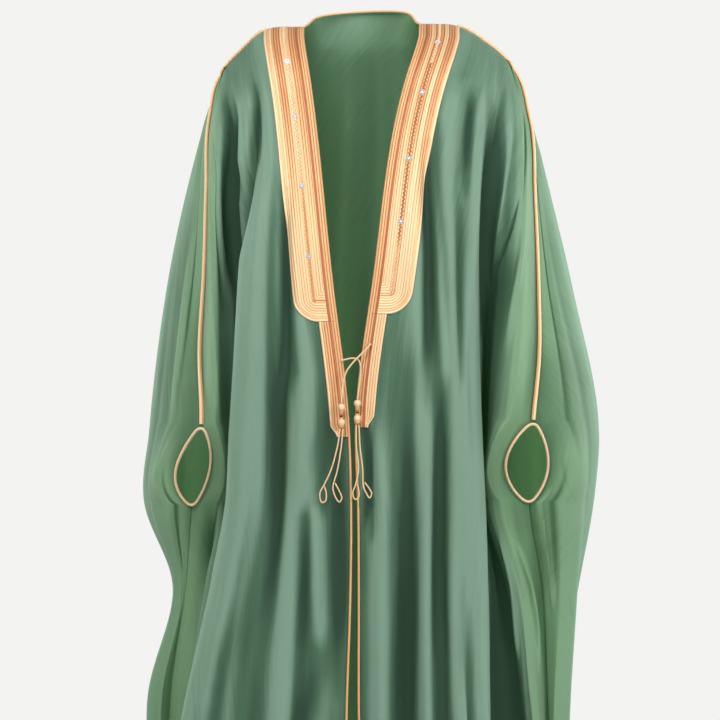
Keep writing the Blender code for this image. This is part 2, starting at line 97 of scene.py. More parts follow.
# %% Helpers for curves through tables
def smooth(at, values, where):
    """Smooth curve through a table: values given at rising positions, read off at other positions."""
    at, values, where = np.asarray(at, float), np.asarray(values, float), np.asarray(where, float)
    slope = np.gradient(values, at, axis=0)
    k = np.clip(np.searchsorted(at, where, side="right") - 1, 0, len(at) - 2)
    span = at[k + 1] - at[k]
    t = (where - at[k]) / span
    shape = t.shape + (1,) * (values.ndim - 1)
    t, span = t.reshape(shape), span.reshape(shape)
    return (
        (2 * t**3 - 3 * t**2 + 1) * values[k]
        + (t**3 - 2 * t**2 + t) * span * slope[k]
        + (3 * t**2 - 2 * t**3) * values[k + 1]
        + (t**3 - t**2) * span * slope[k + 1]
    )


def ease(x):
    """0 below 0, 1 above 1, and a soft step between."""
    x = np.clip(x, 0, 1)
    return x * x * (3 - 2 * x)


def unit(vector):
    return vector / np.maximum(np.linalg.norm(vector, axis=-1, keepdims=True), 1e-12)


def through(spots, count):
    """Rounded path through a few points."""
    at = np.arange(len(spots))
    return smooth(at, np.array(spots, float), np.linspace(0, len(spots) - 1, count))


def run(path):
    """Distance along a path at each of its points."""
    return np.concatenate(((0,), np.cumsum(np.linalg.norm(np.diff(path, axis=0), axis=-1))))


def spread(path, step):
    """The same path with points at an even spacing."""
    length = run(path)
    at = np.linspace(0, length[-1], max(2, int(round(length[-1] / step)) + 1))
    return np.stack([np.interp(at, length, path[:, axis]) for axis in range(3)], -1)


def evened(values, at, reach):
    """Values at places along a path, each blended with its neighbours within a reach."""
    weight = np.exp(-(((at[:, None] - at[None, :]) / reach) ** 2)) * np.gradient(at)
    return weight @ values / weight.sum(1)[:, None]

# %% Helpers for meshes
def set_values(mesh, name, values, kind="FLOAT"):
    """Store a number or a vector on every point of a mesh."""
    flat = np.asarray(values, np.float32).reshape(-1)
    mesh.attributes.new(name, kind, "POINT").data.foreach_set("value" if kind == "FLOAT" else "vector", flat)


def grid_piece(name, points, outward=1, uv=None, values=None, wrap=False):
    """Mesh on a grid of points. wrap joins the last column to the first."""
    rows, columns = points.shape[:2]
    index = np.arange(rows * columns).reshape(rows, columns)
    if wrap:
        index = np.concatenate((index, index[:, :1]), axis=1)
    quads = np.stack((index[:-1, :-1], index[:-1, 1:], index[1:, 1:], index[1:, :-1]), -1).reshape(-1, 4)
    if outward < 0:
        quads = quads[:, ::-1]
    mesh = bpy.data.meshes.new(name)
    mesh.from_pydata(points.reshape(-1, 3).tolist(), [], quads.tolist())
    if uv is not None:
        corners = uv.reshape(-1, 2)[quads.reshape(-1)].astype(np.float32)
        mesh.uv_layers.new(name="UVMap").data.foreach_set("uv", corners.reshape(-1))
    for key, value in (values or {}).items():
        set_values(mesh, key, value)
    mesh.shade_smooth()
    return put_in_scene(name, mesh)


def path_piece(name, path, closed=False, up=None):
    """Mesh that holds only a path: points joined by edges, for a node tree to build on."""
    last = len(path) - 1
    mesh = bpy.data.meshes.new(name)
    mesh.from_pydata(path.tolist(), [(i, i + 1) for i in range(last)] + ([(last, 0)] if closed else []), [])
    if up is not None:
        set_values(mesh, "up", up, "FLOAT_VECTOR")
    return put_in_scene(name, mesh)


def lengths(points):
    """Texture coordinates of a grid in metres, measured along its rows and columns."""
    across = np.cumsum(np.linalg.norm(np.diff(points, axis=1), axis=-1), axis=1)
    down = np.cumsum(np.linalg.norm(np.diff(points, axis=0), axis=-1), axis=0)
    return np.stack((np.pad(across, ((0, 0), (1, 0))), np.pad(down, ((1, 0), (0, 0)))), -1)


def flat_area(points):
    """Area of a grid of points, in square metres."""
    corners = points[:-1, :-1], points[:-1, 1:], points[1:, 1:], points[1:, :-1]
    first = np.cross(corners[1] - corners[0], corners[3] - corners[0])
    second = np.cross(corners[1] - corners[2], corners[3] - corners[2])
    return float((np.linalg.norm(first, axis=-1).sum() + np.linalg.norm(second, axis=-1).sum()) / 2)


def wall(piece, thickness):
    """Give an open sheet its thickness, inward from its face."""
    solid = piece.modifiers.new("wall", "SOLIDIFY")
    solid.thickness, solid.offset = thickness, -1
    return piece


def made_plain(piece):
    """Replace a piece's mesh by what its node tree makes of it."""
    result = bpy.data.meshes.new_from_object(piece.evaluated_get(bpy.context.evaluated_depsgraph_get()))
    piece.modifiers.clear()
    old = piece.data
    piece.data = result
    bpy.data.meshes.remove(old)
    result.name = piece.name
    return piece

# %% Helpers for node trees
class Nodes:
    """A node tree that is written out one node at a time."""

    def __init__(self, group):
        self.group = group

    @staticmethod
    def pick(sockets, key):
        """A socket by its place (_0, _1, ...) or by its name with _ for spaces."""
        if key[0] == "_":
            return sockets[int(key[1:])]
        return next(s for s in sockets if s.enabled and s.name.replace(" ", "_") == key)

    def feed(self, node, inputs):
        """Link each input to a socket, or set its value."""
        for key, value in inputs.items():
            socket = self.pick(node.inputs, key)
            if isinstance(value, bpy.types.NodeSocket):
                self.group.links.new(value, socket)
            else:
                socket.default_value = value

    def add(self, kind, settings=None, **inputs):
        node = self.group.nodes.new(kind)
        for key, value in (settings or {}).items():
            setattr(node, key, value)
        self.feed(node, inputs)
        return node

    def math(self, operation, first, second=0.0, third=0.0):
        return self.add("ShaderNodeMath", {"operation": operation}, _0=first, _1=second, _2=third).outputs[0]


class Builder(Nodes):
    """A Geometry Nodes tree with named inputs."""

    def __init__(self, name, **inputs):
        super().__init__(bpy.data.node_groups.new(name, "GeometryNodeTree"))
        face = self.group.interface
        face.new_socket("Geometry", in_out="INPUT", socket_type="NodeSocketGeometry")
        self.sockets = {}
        for label, kind in inputs.items():
            label = label.replace("_", " ")
            self.sockets[label] = face.new_socket(label, in_out="INPUT", socket_type="NodeSocket" + kind)
        face.new_socket("Geometry", in_out="OUTPUT", socket_type="NodeSocketGeometry")
        self.size = self.group.nodes.new("NodeGroupInput").outputs

    def stored(self, name, kind="FLOAT"):
        return self.add("GeometryNodeInputNamedAttribute", {"data_type": kind}, Name=name).outputs["Attribute"]

    def vector(self, operation, first, second=(0, 0, 0)):
        return self.add("ShaderNodeVectorMath", {"operation": operation}, _0=first, _1=second).outputs[0]

    def scaled(self, vector, amount):
        return self.add("ShaderNodeVectorMath", {"operation": "SCALE"}, _0=vector, Scale=amount).outputs[0]

    def joined(self, *nodes):
        join = self.group.nodes.new("GeometryNodeJoinGeometry")
        for node in nodes:
            self.group.links.new(node.outputs[0], join.inputs[0])
        return join

    def finish(self, node, thread, soft=False):
        """End the tree: shade it smooth if it is soft, make its instances real, and give it its material."""
        if soft:
            node = self.add("GeometryNodeSetShadeSmooth", Geometry=node.outputs[0])
        real = self.add("GeometryNodeRealizeInstances", Geometry=node.outputs[0])
        done = self.add("GeometryNodeSetMaterial", Geometry=real.outputs[0], Material=thread)
        self.group.links.new(done.outputs[0], self.group.nodes.new("NodeGroupOutput").inputs[0])
        return self

    def put_on(self, piece, values):
        """Run the tree on a piece and keep the mesh that it makes."""
        modifier = piece.modifiers.new(self.group.name, "NODES")
        modifier.node_group = self.group
        for label, value in values.items():
            modifier[self.sockets[label].identifier] = value
        return made_plain(piece)

# %% [markdown]
# ## Materials
# The voile is so thin that it passes light: a share of translucent and of clear light goes with the woven surface.
# The metal thread is between a metal and a silk, with a soft, broken shine.

# %% Green voile
class Finish(Nodes):
    """A material, with one main shader."""

    def __init__(self, name):
        self.material = bpy.data.materials.new(name)
        self.material.use_nodes = True
        super().__init__(self.material.node_tree)
        self.shader = self.group.nodes["Principled BSDF"]

    def paint(self, **inputs):
        self.feed(self.shader, inputs)
        return self.material

    def stored(self, name):
        return self.add("ShaderNodeAttribute", {"attribute_name": name}).outputs["Fac"]

    def ramp(self, factor, stops):
        """Colour ramp on a factor. stops are (place, colour)."""
        node = self.add("ShaderNodeValToRGB", Fac=factor)
        while len(node.color_ramp.elements) < len(stops):
            node.color_ramp.elements.new(0.5)
        for element, (place, colour) in zip(node.color_ramp.elements, stops):
            element.position, element.color = place, (*colour, 1)
        return node.outputs["Color"]

    def noise(self, coordinates, scale, detail, stretch=(1, 1, 1)):
        """Noise that may be drawn out along one way of the cloth."""
        place = self.add("ShaderNodeMapping", Vector=coordinates, Scale=stretch).outputs["Vector"]
        return self.add("ShaderNodeTexNoise", Vector=place, Scale=scale, Detail=detail).outputs["Fac"]

    def bump(self, height, strength, distance):
        return self.add("ShaderNodeBump", Height=height, Strength=strength, Distance=distance).outputs["Normal"]


# painted shade in the fold troughs, the voile's own green, and painted highlight on the fold ridges
VOILE_PAINTED_SHADE = (0.027, 0.055, 0.041)
VOILE = (0.075, 0.150, 0.100)
VOILE_PAINTED_HIGHLIGHT = (0.224, 0.342, 0.272)
VOILE_LIT = (0.30, 0.55, 0.22)  # light that has come through the cloth
SLEEVE_PAINTED_BACKLIGHT = (1.02, 1.10, 0.84)  # painted backlight: warmer where the cloth hangs free, in place of light from behind shining through it
LIT_SHARE, CLEAR_SHARE = 0.30, 0.17  # how much of the cloth glows through, and how much is open weave
WEAVE = 260.0  # scale of the wave texture, which gives about 830 threads in each metre
FOLD_SHADE_STRENGTH = 0.36  # how strongly the painted shade darkens the troughs and the painted highlight lightens the ridges


# The colour holds painted shade in the fold troughs, painted highlight on their ridges, and painted backlight where the
# cloth hangs free.
def voile_material():
    cloth = Finish("green voile")
    weave = cloth.add("ShaderNodeTexCoord").outputs["UV"]
    streaks = cloth.noise(weave, 1.0, 5, stretch=(260, 9, 1))
    patches = cloth.noise(weave, 7.0, 3)
    uneven = cloth.math("MULTIPLY_ADD", streaks, 0.30, cloth.math("MULTIPLY_ADD", patches, 0.25, 0.225))
    # painted shade darkens the troughs of the folds and painted highlight lightens their ridges, on top of the streaks
    # and patches of the weave
    depth = cloth.math("MULTIPLY_ADD", cloth.stored("painted_fold_shade"), -FOLD_SHADE_STRENGTH, uneven)
    shade = cloth.ramp(depth, [(0.12, VOILE_PAINTED_SHADE), (0.50, VOILE), (0.88, VOILE_PAINTED_HIGHLIGHT)])
    mix = {"data_type": "RGBA", "blend_type": "MULTIPLY"}
    # painted backlight: the colour is tinted warmer and yellower where the cloth hangs free, as if light shone through
    # from behind
    with_painted_backlight = cloth.add("ShaderNodeMix", mix, _0=cloth.stored("free"), _6=shade, _7=(*SLEEVE_PAINTED_BACKLIGHT, 1)).outputs[2]
    # the weave: warp and weft as fine ridges that cross
    warp, weft = (
        cloth.add("ShaderNodeTexWave", {"bands_direction": way}, Vector=weave, Scale=WEAVE, Distortion=0.6).outputs[1]
        for way in "XY"
    )
    material = cloth.paint(
        Base_Color=with_painted_backlight,
        Roughness=0.72,
        Specular_IOR_Level=0.25,
        Sheen_Weight=0.22,
        Sheen_Roughness=0.45,
        Sheen_Tint=(0.62, 0.80, 0.70, 1),
        Normal=cloth.bump(cloth.math("ADD", warp, weft), 0.12, 0.0002),
    )
    glow = cloth.add("ShaderNodeBsdfTranslucent", Color=(*VOILE_LIT, 1)).outputs[0]
    clear = cloth.add("ShaderNodeBsdfTransparent", Color=(0.75, 0.95, 0.80, 1)).outputs[0]
    woven = cloth.add("ShaderNodeMixShader", _0=LIT_SHARE, _1=cloth.shader.outputs[0], _2=glow).outputs[0]
    sheer = cloth.add("ShaderNodeMixShader", _0=CLEAR_SHARE, _1=woven, _2=clear).outputs[0]
    cloth.feed(cloth.group.nodes["Material Output"], {"Surface": sheer})
    return material


voile = voile_material()
print("material:", voile.name)

# %% [markdown]
# ## Gold thread
# The same thread is cream where it lies on top and orange where it goes under, so its colour comes from two values
# that each mesh carries: "tone", from cream to orange, and "rib", the distance across the couched ribs.

# %% Gold thread
CREAM, GOLD, ORANGE, RUST = (0.68, 0.51, 0.32), (0.62, 0.385, 0.185), (0.54, 0.255, 0.10), (0.30, 0.095, 0.03)
RIB = 3.6 * MM  # one couched rib


def between(finish, value, low, high, top=1.0):
    """Map a value that runs from 0 to top onto low to high."""
    spans = {"From_Min": 0.0, "From_Max": top, "To_Min": low, "To_Max": high}
    return finish.add("ShaderNodeMapRange", Value=value, **spans).outputs[0]


def gold_material(name, rib_pitch=None):
    thread = Finish(name)
    sparkle = thread.noise(thread.add("ShaderNodeTexCoord").outputs["Object"], 900.0, 2)
    factor = thread.math("ADD", thread.stored("tone"), thread.math("MULTIPLY_ADD", sparkle, 0.35, -0.17))
    if rib_pitch:
        # orange shows in the valley between two ribs
        wave = thread.math("SINE", thread.math("MULTIPLY", thread.stored("rib"), math.pi / rib_pitch))
        factor = thread.math("ADD", factor, between(thread, thread.math("ABSOLUTE", wave), 0.80, 0.0, 0.60))
    return thread.paint(
        Base_Color=thread.ramp(factor, [(0.0, CREAM), (0.42, GOLD), (0.8, ORANGE), (1.0, RUST)]),
        Metallic=0.28,
        Sheen_Weight=0.15,
        Roughness=between(thread, sparkle, 0.38, 0.68),
        Normal=thread.bump(sparkle, 0.35, 0.0003),
    )


zari = gold_material("gold zari", RIB)
gold_cord = gold_material("gold cord")
silver = Finish("silver sequin").paint(Base_Color=(0.52, 0.56, 0.62, 1), Metallic=0.45, Roughness=0.40)
black = Finish("black bead").paint(Base_Color=(0.012, 0.012, 0.012, 1), Roughness=0.35)
print("materials:", zari.name, gold_cord.name, silver.name, black.name)

# %% [markdown]
# ## Node trees for cord
# Every cord is laid from strands that wind round a path. One tree makes them all: it moves each strand off the path
# by the twist radius, at an angle that grows along the path, and gives it a round section.

# %% Twisted cord
STRANDS = 3
STRAND_SHARE, TWIST_SHARE = 0.52, 0.48  # radius of a strand, and how far it lies from the middle
STEPS_A_TURN = 6


def twisted_cord_tree():
    tree = Builder(
        "twisted cord",
        Strand_radius="Float",
        Twist_radius="Float",
        Twist_pitch="Float",
        Step="Float",
        Thread="Material",
    )
    size = tree.size
    path = tree.add("GeometryNodeMeshToCurve", Mesh=size["Geometry"]).outputs[0]
    path = tree.add("GeometryNodeResampleCurve", {"mode": "LENGTH"}, Curve=path, Length=size["Step"]).outputs[0]
    normal = tree.add("GeometryNodeInputNormal").outputs[0]
    side = tree.vector("CROSS_PRODUCT", tree.add("GeometryNodeInputTangent").outputs[0], normal)
    along = tree.add("GeometryNodeSplineParameter").outputs["Length"]
    turn = tree.math("MULTIPLY", tree.math("DIVIDE", along, size["Twist pitch"]), 2 * math.pi)
    ring = tree.add("GeometryNodeCurvePrimitiveCircle", Resolution=6, Radius=size["Strand radius"]).outputs[0]
    strands = []
    for number in range(STRANDS):
        angle = tree.math("ADD", turn, 2 * math.pi * number / STRANDS)
        first = tree.scaled(normal, tree.math("MULTIPLY", tree.math("COSINE", angle), size["Twist radius"]))
        second = tree.scaled(side, tree.math("MULTIPLY", tree.math("SINE", angle), size["Twist radius"]))
        off = tree.vector("ADD", first, second)
        moved = tree.add("GeometryNodeSetPosition", Geometry=path, Offset=off).outputs[0]
        strands.append(tree.add("GeometryNodeCurveToMesh", Curve=moved, Profile_Curve=ring, Fill_Caps=True))
    return tree.finish(tree.joined(*strands), size["Thread"], soft=True)


twisted_cord = twisted_cord_tree()


def lay_cord(name, path, radius, pitch, tone, closed=False):
    """Three-strand cord on a path. radius is that of the whole cord."""
    sizes = {
        "Strand radius": radius * STRAND_SHARE,
        "Twist radius": radius * TWIST_SHARE,
        "Twist pitch": pitch,
        "Step": pitch / STEPS_A_TURN,
        "Thread": gold_cord,
    }
    piece = twisted_cord.put_on(path_piece(name, path, closed), sizes)
    set_values(piece.data, "tone", np.full(len(piece.data.vertices), tone))
    print(name, len(piece.data.polygons), "faces")
    return piece

# %% [markdown]
# ## Ties
# Two thin cords leave the inner edges of the bands, cross in the opening, and run into wrapped spools. Below each
# spool two free ends hang down, and each is turned up into a small loop.

# %% Ties
TIES = {
    "left": (
        (1.5, -14.6, -45.9), (0.6, -15.1, -46.9), (-0.8, -15.6, -48.3), (-1.9, -15.8, -49.8),
        (-2.4, -15.9, -51.8), (-2.55, -15.9, -54.0),
    ),
    "right": (
        (-2.6, -14.9, -48.2), (-1.0, -15.0, -47.9), (-0.1, -15.0, -48.3), (0.1, -15.1, -49.8),
        (-0.1, -15.2, -51.6), (-0.34, -15.2, -53.5),
    ),
}
SPOOLS = {"left": (-2.55, -15.9, -54.15, 3.4), "right": (-0.34, -15.2, -53.65, 3.4)}
TAILS = {
    "left_a": (
        (-2.75, -15.95, -57.65), (-3.1, -16.1, -60.0), (-3.9, -16.3, -63.0), (-4.9, -16.4, -65.2),
        (-5.5, -16.4, -66.4), (-5.3, -16.4, -67.6), (-4.7, -16.4, -67.4), (-4.65, -16.25, -66.3),
        (-4.95, -16.1, -65.3),
    ),
    "left_b": (
        (-2.35, -15.95, -57.65), (-2.6, -16.1, -60.2), (-3.1, -16.3, -63.2), (-3.7, -16.4, -65.4),
        (-3.5, -16.4, -66.6), (-2.9, -16.4, -67.6), (-2.5, -16.4, -67.0), (-2.95, -16.25, -65.9),
        (-3.45, -16.1, -65.0),
    ),
    "right_a": (
        (-0.54, -15.25, -57.15), (-0.5, -15.3, -60.0), (-0.2, -15.4, -63.0), (-0.6, -15.5, -65.2),
        (-1.0, -15.5, -66.4), (-0.7, -15.5, -67.3), (-0.15, -15.5, -66.9), (-0.2, -15.35, -65.9),
        (-0.45, -15.2, -65.0),
    ),
    "right_b": (
        (-0.14, -15.25, -57.15), (0.0, -15.3, -60.0), (0.35, -15.4, -63.0), (0.45, -15.5, -65.4),
        (0.9, -15.5, -66.5), (1.3, -15.5, -67.1), (1.6, -15.45, -66.5), (1.2, -15.35, -65.7),
        (0.65, -15.2, -65.0),
    ),
}
TIE_RADIUS, TAIL_RADIUS = 1.4 * MM, 1.15 * MM
tie_paths = {side: through(spots, 40) * CM for side, spots in TIES.items()}
tail_paths = {name: through(spots, 60) * CM for name, spots in TAILS.items()}
ties = {side: lay_cord("tie_" + side, path, TIE_RADIUS, 5 * MM, 0.18) for side, path in tie_paths.items()}
tails = {name: lay_cord("tail_" + name, path, TAIL_RADIUS, 4 * MM, 0.20) for name, path in tail_paths.items()}

# %% [markdown]
# ## Spools
# Each tie runs through a spool: two thread-wrapped knobs with a narrow neck and a black bead between them. A turned
# profile gives the shape, and the rounds of thread are fine ridges in that profile.

# %% Spools
#                  share down, radius mm, tone
SPOOL_PROFILE = (
    (0.00, 1.6, 0.1),
    (0.03, 4.2, 0.0),
    (0.12, 5.0, 0.0),
    (0.20, 4.6, 0.1),
    (0.25, 3.4, 0.7),
    (0.38, 3.0, 0.8),
    (0.46, 2.0, 0.95),
    (0.54, 2.0, 0.95),
    (0.60, 3.0, 0.8),
    (0.66, 4.5, 0.1),
    (0.76, 5.0, 0.0),
    (0.83, 4.4, 0.5),
    (0.93, 4.0, 0.75),
    (1.00, 1.6, 0.8),
)


ROUND = 24  # columns round a spool
THREAD_PITCH, THREAD_RIDGE = 0.11 * CM, 0.16 * MM  # rounds of thread


def spool(name, out, back, top, length):
    table_down, table_radius, table_tone = (np.array(column) for column in zip(*SPOOL_PROFILE))
    down = np.linspace(0, 1, 73)
    radius = np.interp(down, table_down, table_radius) * MM
    radius[1:-1] = (radius[:-2] + 2 * radius[1:-1] + radius[2:]) / 4
    radius += THREAD_RIDGE * np.abs(np.sin(down * length * CM / THREAD_PITCH * math.pi)) * (radius > 2 * MM)
    tone = np.interp(down, table_down, table_tone)
    # both ends turn in to a small hole, which is capped below
    radius = np.concatenate(((0.02 * MM,), radius, (0.02 * MM,)))
    tone = np.concatenate((tone[:1], tone, tone[-1:]))
    down = np.concatenate(((0,), down, (1,)))
    angle = np.linspace(0, 2 * math.pi, ROUND + 1)[:-1]
    points = np.zeros((len(down), ROUND, 3))
    points[..., 0] = out * CM + radius[:, None] * np.cos(angle)
    points[..., 1] = back * CM + radius[:, None] * np.sin(angle)
    points[..., 2] = (top - down[:, None] * length) * CM
    piece = grid_piece(name, points, -1, values={"tone": np.repeat(tone[:, None], ROUND, 1)}, wrap=True)
    count = len(piece.data.vertices)
    shape = bmesh.new()
    shape.from_mesh(piece.data)
    for end in (slice(0, ROUND), slice(count - ROUND, count)):
        shape.verts.ensure_lookup_table()
        bmesh.ops.contextual_create(shape, geom=list(shape.verts[end]))
    bmesh.ops.recalc_face_normals(shape, faces=shape.faces[:])
    shape.to_mesh(piece.data)
    shape.free()
    piece.data.materials.append(gold_cord)
    return piece


def spool_bead(name, out, back, top, length):
    """The black bead on the neck of a spool, toward the front."""
    middle = np.array((out * CM, back * CM - 1.6 * MM, (top - 0.5 * length) * CM))
    mesh = bpy.data.meshes.new("bead")
    shape = bmesh.new()
    bmesh.ops.create_uvsphere(shape, u_segments=16, v_segments=10, radius=1.5 * MM)
    for vert in shape.verts:
        vert.co = np.array(vert.co) * (1.5, 1, 0.8) + middle
    shape.to_mesh(mesh)
    shape.free()
    mesh.materials.append(black)
    mesh.shade_smooth()
    return put_in_scene(name + "_bead", mesh)


spools = {side: (spool("spool_" + side, *place), spool_bead("spool_" + side, *place)) for side, place in SPOOLS.items()}
print("spools:", [piece.name for pair in spools.values() for piece in pair])

# %% [markdown]
# ## The cloth's shape
# Back and front meet along a seam that runs over the shoulder and down the arm. From it the cloth falls along
# "hang lines". A row of the table places one hang line at every height, so that a level cut through the cloak is a
# smooth curve through the lines: out at the arm, in at the pocket between sleeve and body, and out over the breast.

# %% Tables of the shape
LENGTH = 142 * CM  # top of the shoulder to the hem
ROUNDING = 10 * CM  # depth over which cloth turns from the seam to hang
SLIP = 1.3 * CM  # one front hangs this much lower than the middle, and the other this much higher
WRIST, CUFF_FOOT = 0.375, 0.460  # where the cuff opens and closes, as shares of the way down
SIDES = {"right": -1, "left": 1}

# The shoulder seam from the neck to the tip of the shoulder: out from the middle, back, and up, in centimetres
SHOULDER = {
    "right": ((8.4, 0.0, 0.0), (13.6, 0.0, -0.4), (17.0, 0.0, -3.2), (19.9, -0.2, -6.7)),
    "left": ((8.9, 0.0, 0.4), (14.2, 0.0, 0.1), (18.0, 0.0, -2.0), (21.9, -0.2, -5.8)),
}
# The back of the neck, between the neck ends of the two seams
NECK = ((-5.9, 4.9, 2.3), (0.0, 7.6, 3.4), (6.6, 4.7, 2.9))
# The seam down the sleeve and then the side, as out from the middle, back, and up
SIDE = {
    "right": (
        (19.9, -0.2, -6.7),  # tip of the shoulder
        (21.6, -1.5, -13.3),
        (21.9, -3.5, -23.8),
        (22.1, -6.0, -36.0),  # elbow
        (22.5, -8.5, -46.7),
        (22.1, -11.0, -57.4),  # wrist
        (23.8, -5.5, -68.0),  # foot of the cuff
        (25.2, -1.5, -81.0),
        (27.3, -1.5, -96.0),
        (28.0, -0.5, -118.0),
        (29.5, 0.0, -142.0),
    ),
    "left": (
        (21.9, -0.2, -5.8),
        (24.3, -1.2, -13.0),
        (25.0, -3.0, -25.2),
        (25.3, -6.0, -38.0),
        (25.2, -8.0, -47.5),
        (24.2, -10.0, -56.9),
        (24.0, -5.5, -68.0),
        (26.2, -2.5, -81.0),
        (27.0, -2.5, -96.0),
        (28.0, -1.0, -118.0),
        (29.5, 0.0, -142.0),
    ),
}

# Heights at which the hang lines are given, in centimetres
#          top  yoke elbow cuff  swag tuck knee  calf  hem
LEVELS = (-2, -12, -36, -58, -68, -81, -96, -118, -142)

# Hang lines: the station on the shoulder seam that each one hangs from, its distance out and its distance back
FRONT_LINES = {
    "right": {
        "edge": (0, (8.2, 6.8, 4.2, 1.7, 1.4, 1.5, 2.0, 2.3, 2.5),
            (-8, -9.5, -13.6, -14.6, -14.8, -15, -15.3, -15.8, -16.5)),
        "breast": (1.2, (13.5, 11.6, 10.8, 10.2, 10.2, 11, 12.5, 13.5, 14.5),
            (-8.5, -10, -14, -15, -15.2, -15.5, -16, -16.8, -17.5)),
        "crown": (2.1, (17, 15.6, 16.6, 17.3, 17.8, 20.8, 24.2, 26.3, 28),
            (-7, -8.8, -12.5, -12.8, -12.6, -12.2, -11.8, -12.2, -13)),
        "pocket": (2.6, (18.8, 18.2, 17.4, 17.4, 16.8, 17.5, 19.5, 21.5, 24),
            (-4.5, -6.9, -4.5, -3, 0.5, 1.5, 0, -1, -2)),
        "sleeve": (2.85, (19.6, 20.6, 20.2, 19.6, 19.4, 21.5, 24, 26, 28),
            (-2.5, -4.4, -9.3, -11, -5, -3.5, -4.5, -4.5, -5)),
    },
    "left": {
        "edge": (0, (8.6, 5.8, 2.2, -0.4, -0.1, 0, 0, 0.5, 1),
            (-8, -9.5, -13.4, -14.2, -14.4, -14.6, -15, -15.6, -16.2)),
        "breast": (1.2, (13.8, 10.8, 9.8, 9.6, 9.6, 9.6, 9.8, 10.5, 11.5),
            (-8.5, -10, -14, -15, -15.2, -15.5, -16, -16.8, -17.5)),
        "crown": (2.1, (18, 17, 15.8, 16.2, 16.6, 16.9, 17.3, 19, 20.5),
            (-7, -8.8, -12.8, -13.2, -13.2, -13.2, -13.3, -13.8, -14.5)),
        "pocket": (2.6, (20.2, 20.2, 18.4, 17.6, 17.4, 19.6, 21, 22.8, 24.5),
            (-4.5, -6.9, -6, -4, -2.5, -4, -5, -5.5, -6)),
        "sleeve": (2.85, (21.4, 22.9, 22.4, 19.8, 18.8, 22.8, 24.4, 26, 27.5),
            (-2.5, -4.2, -9.5, -10.8, -5.5, -5, -6, -6, -6.5)),
    },
}
BACK_LINES = {
    "right": {
        "cape": (2.85, (20.2, 22.1, 24.4, 27.2, 28.6, 25.9, 28.6, 28, 30), (1.5, 0, -4.5, -6, -4.5, -1, -3, -1, -1)),
        "outer": (2.5, (19.6, 22.3, 27.7, 30.4, 31.1, 27, 30.3, 28.7, 30.5), (4, 3.2, 2, 2, 1.5, 3.5, 3, 4.5, 4.5)),
        "hip": (1.9, (17, 20, 23.5, 25.2, 25.2, 23.2, 25, 25.5, 27.5),
            (7, 9, 11.5, 13, 13.5, 13.5, 14.5, 16.5, 18.5)),
        "blade": (0, (9.5, 10.5, 12.5, 13, 13, 12.5, 13.5, 14, 15), (9, 12.5, 16, 17.8, 18.3, 18.6, 19.5, 21, 23)),
    },
    "left": {
        "cape": (2.85, (22.2, 24.2, 27.3, 30.5, 30.3, 29.3, 28, 28, 30), (1.5, 0.3, -4, -6, -5.5, -4, -4.5, -2, -2)),
        "outer": (2.5, (21.4, 24.4, 30.8, 34.6, 33.9, 31.8, 29.4, 28.7, 30.5), (4, 3, 1.5, 2, 2, 3, 3, 4.5, 4.5)),
        "hip": (1.9, (17.6, 20.8, 25, 27.5, 27.5, 26.5, 25.5, 25.5, 27.5),
            (7, 9, 11.5, 13, 13.5, 13.5, 14.5, 16.5, 18.5)),
        "blade": (0, (9.5, 10.5, 12.5, 13.2, 13.2, 13, 13.5, 14, 15), (9, 12.5, 16, 17.8, 18.3, 18.6, 19.5, 21, 23)),
    },
}
CENTRE_BACK = (9.5, 11.5, 15, 17, 17.5, 18, 19, 20.5, 22.5)

# How far the cuff opens to each side of the line from the wrist to its foot, in centimetres
CUFF_OPENS = {"right": {"front": 1.8, "back": 3.4}, "left": {"front": 3.4, "back": 2.8}}

# %% [markdown]
# ## Folds
# Troughs and ridges are placed one by one. Each follows a line down the cloth, with its own width and depth, and they
# are deliberately uneven: sheer cloth hangs in long soft folds that start at the shoulder and the bands.

# %% Tables of the folds
FRONT_FOLDS = {
    "right": (
        # across, up,  across, up, width, depth
        (2.8, -9, 2.9, -26, 0.22, -0.5),
        (1.9, -12, 3.0, -50, 0.25, -0.9),
        (1.5, -22, 2.0, -80, 0.30, 0.8),
        (0.86, -24, 0.98, -54, 0.11, -0.6),
        (0.75, -50, 0.75, -70, 0.20, 0.7),
        (1.2, -44, 1.7, -124, 0.24, -0.55),
        (0.62, -58, 0.50, -118, 0.20, -0.55),
        (0.5, -68, 0.45, -88, 0.15, 0.7),
        (0.35, -80, 1.05, -150, 0.18, 1.0),
        (2.4, -90, 2.2, -150, 0.25, 1.1),
        (1.6, -96, 1.6, -150, 0.22, -1.2),
    ),
    "left": (
        (0.92, -17, 1.0, -50, 0.16, -1.0),
        (0.68, -45, 0.58, -150, 0.20, -1.3),
        (1.15, -14, 1.4, -50, 0.10, -0.5),
        (1.7, -9, 1.7, -26, 0.22, -0.5),
        (2.5, -10, 2.7, -40, 0.25, -0.7),
        (0.35, -48, 0.30, -150, 0.15, 0.6),
        (0.98, -50, 0.85, -150, 0.14, 0.9),
        (1.25, -50, 1.15, -90, 0.14, -0.9),
        (1.42, -72, 1.42, -150, 0.12, 0.8),
        (1.9, -50, 1.85, -150, 0.25, 0.6),
        (2.4, -95, 2.3, -150, 0.25, -1.1),
    ),
}

BACK_FOLDS = (
    (1.3, -60, 1.2, -150, 0.25, 0.8),
    (2.5, -70, 2.5, -150, 0.25, -1.0),
    (3.3, -20, 3.0, -150, 0.28, 1.1),
    (4.0, -25, 3.9, -150, 0.25, -1.2),
    (4.6, -10, 4.6, -150, 0.25, 1.0),
    (5.1, -30, 5.2, -150, 0.22, -1.1),
    (5.7, -14, 5.7, -150, 0.25, 1.1),
    (6.3, -25, 6.3, -150, 0.22, -1.2),
    (6.9, -40, 7.0, -150, 0.25, 1.0),
    (7.6, -60, 7.6, -150, 0.25, -1.0),
    (8.7, -60, 8.8, -150, 0.25, 0.9),
)

FOLD_DEPTH = 1.9

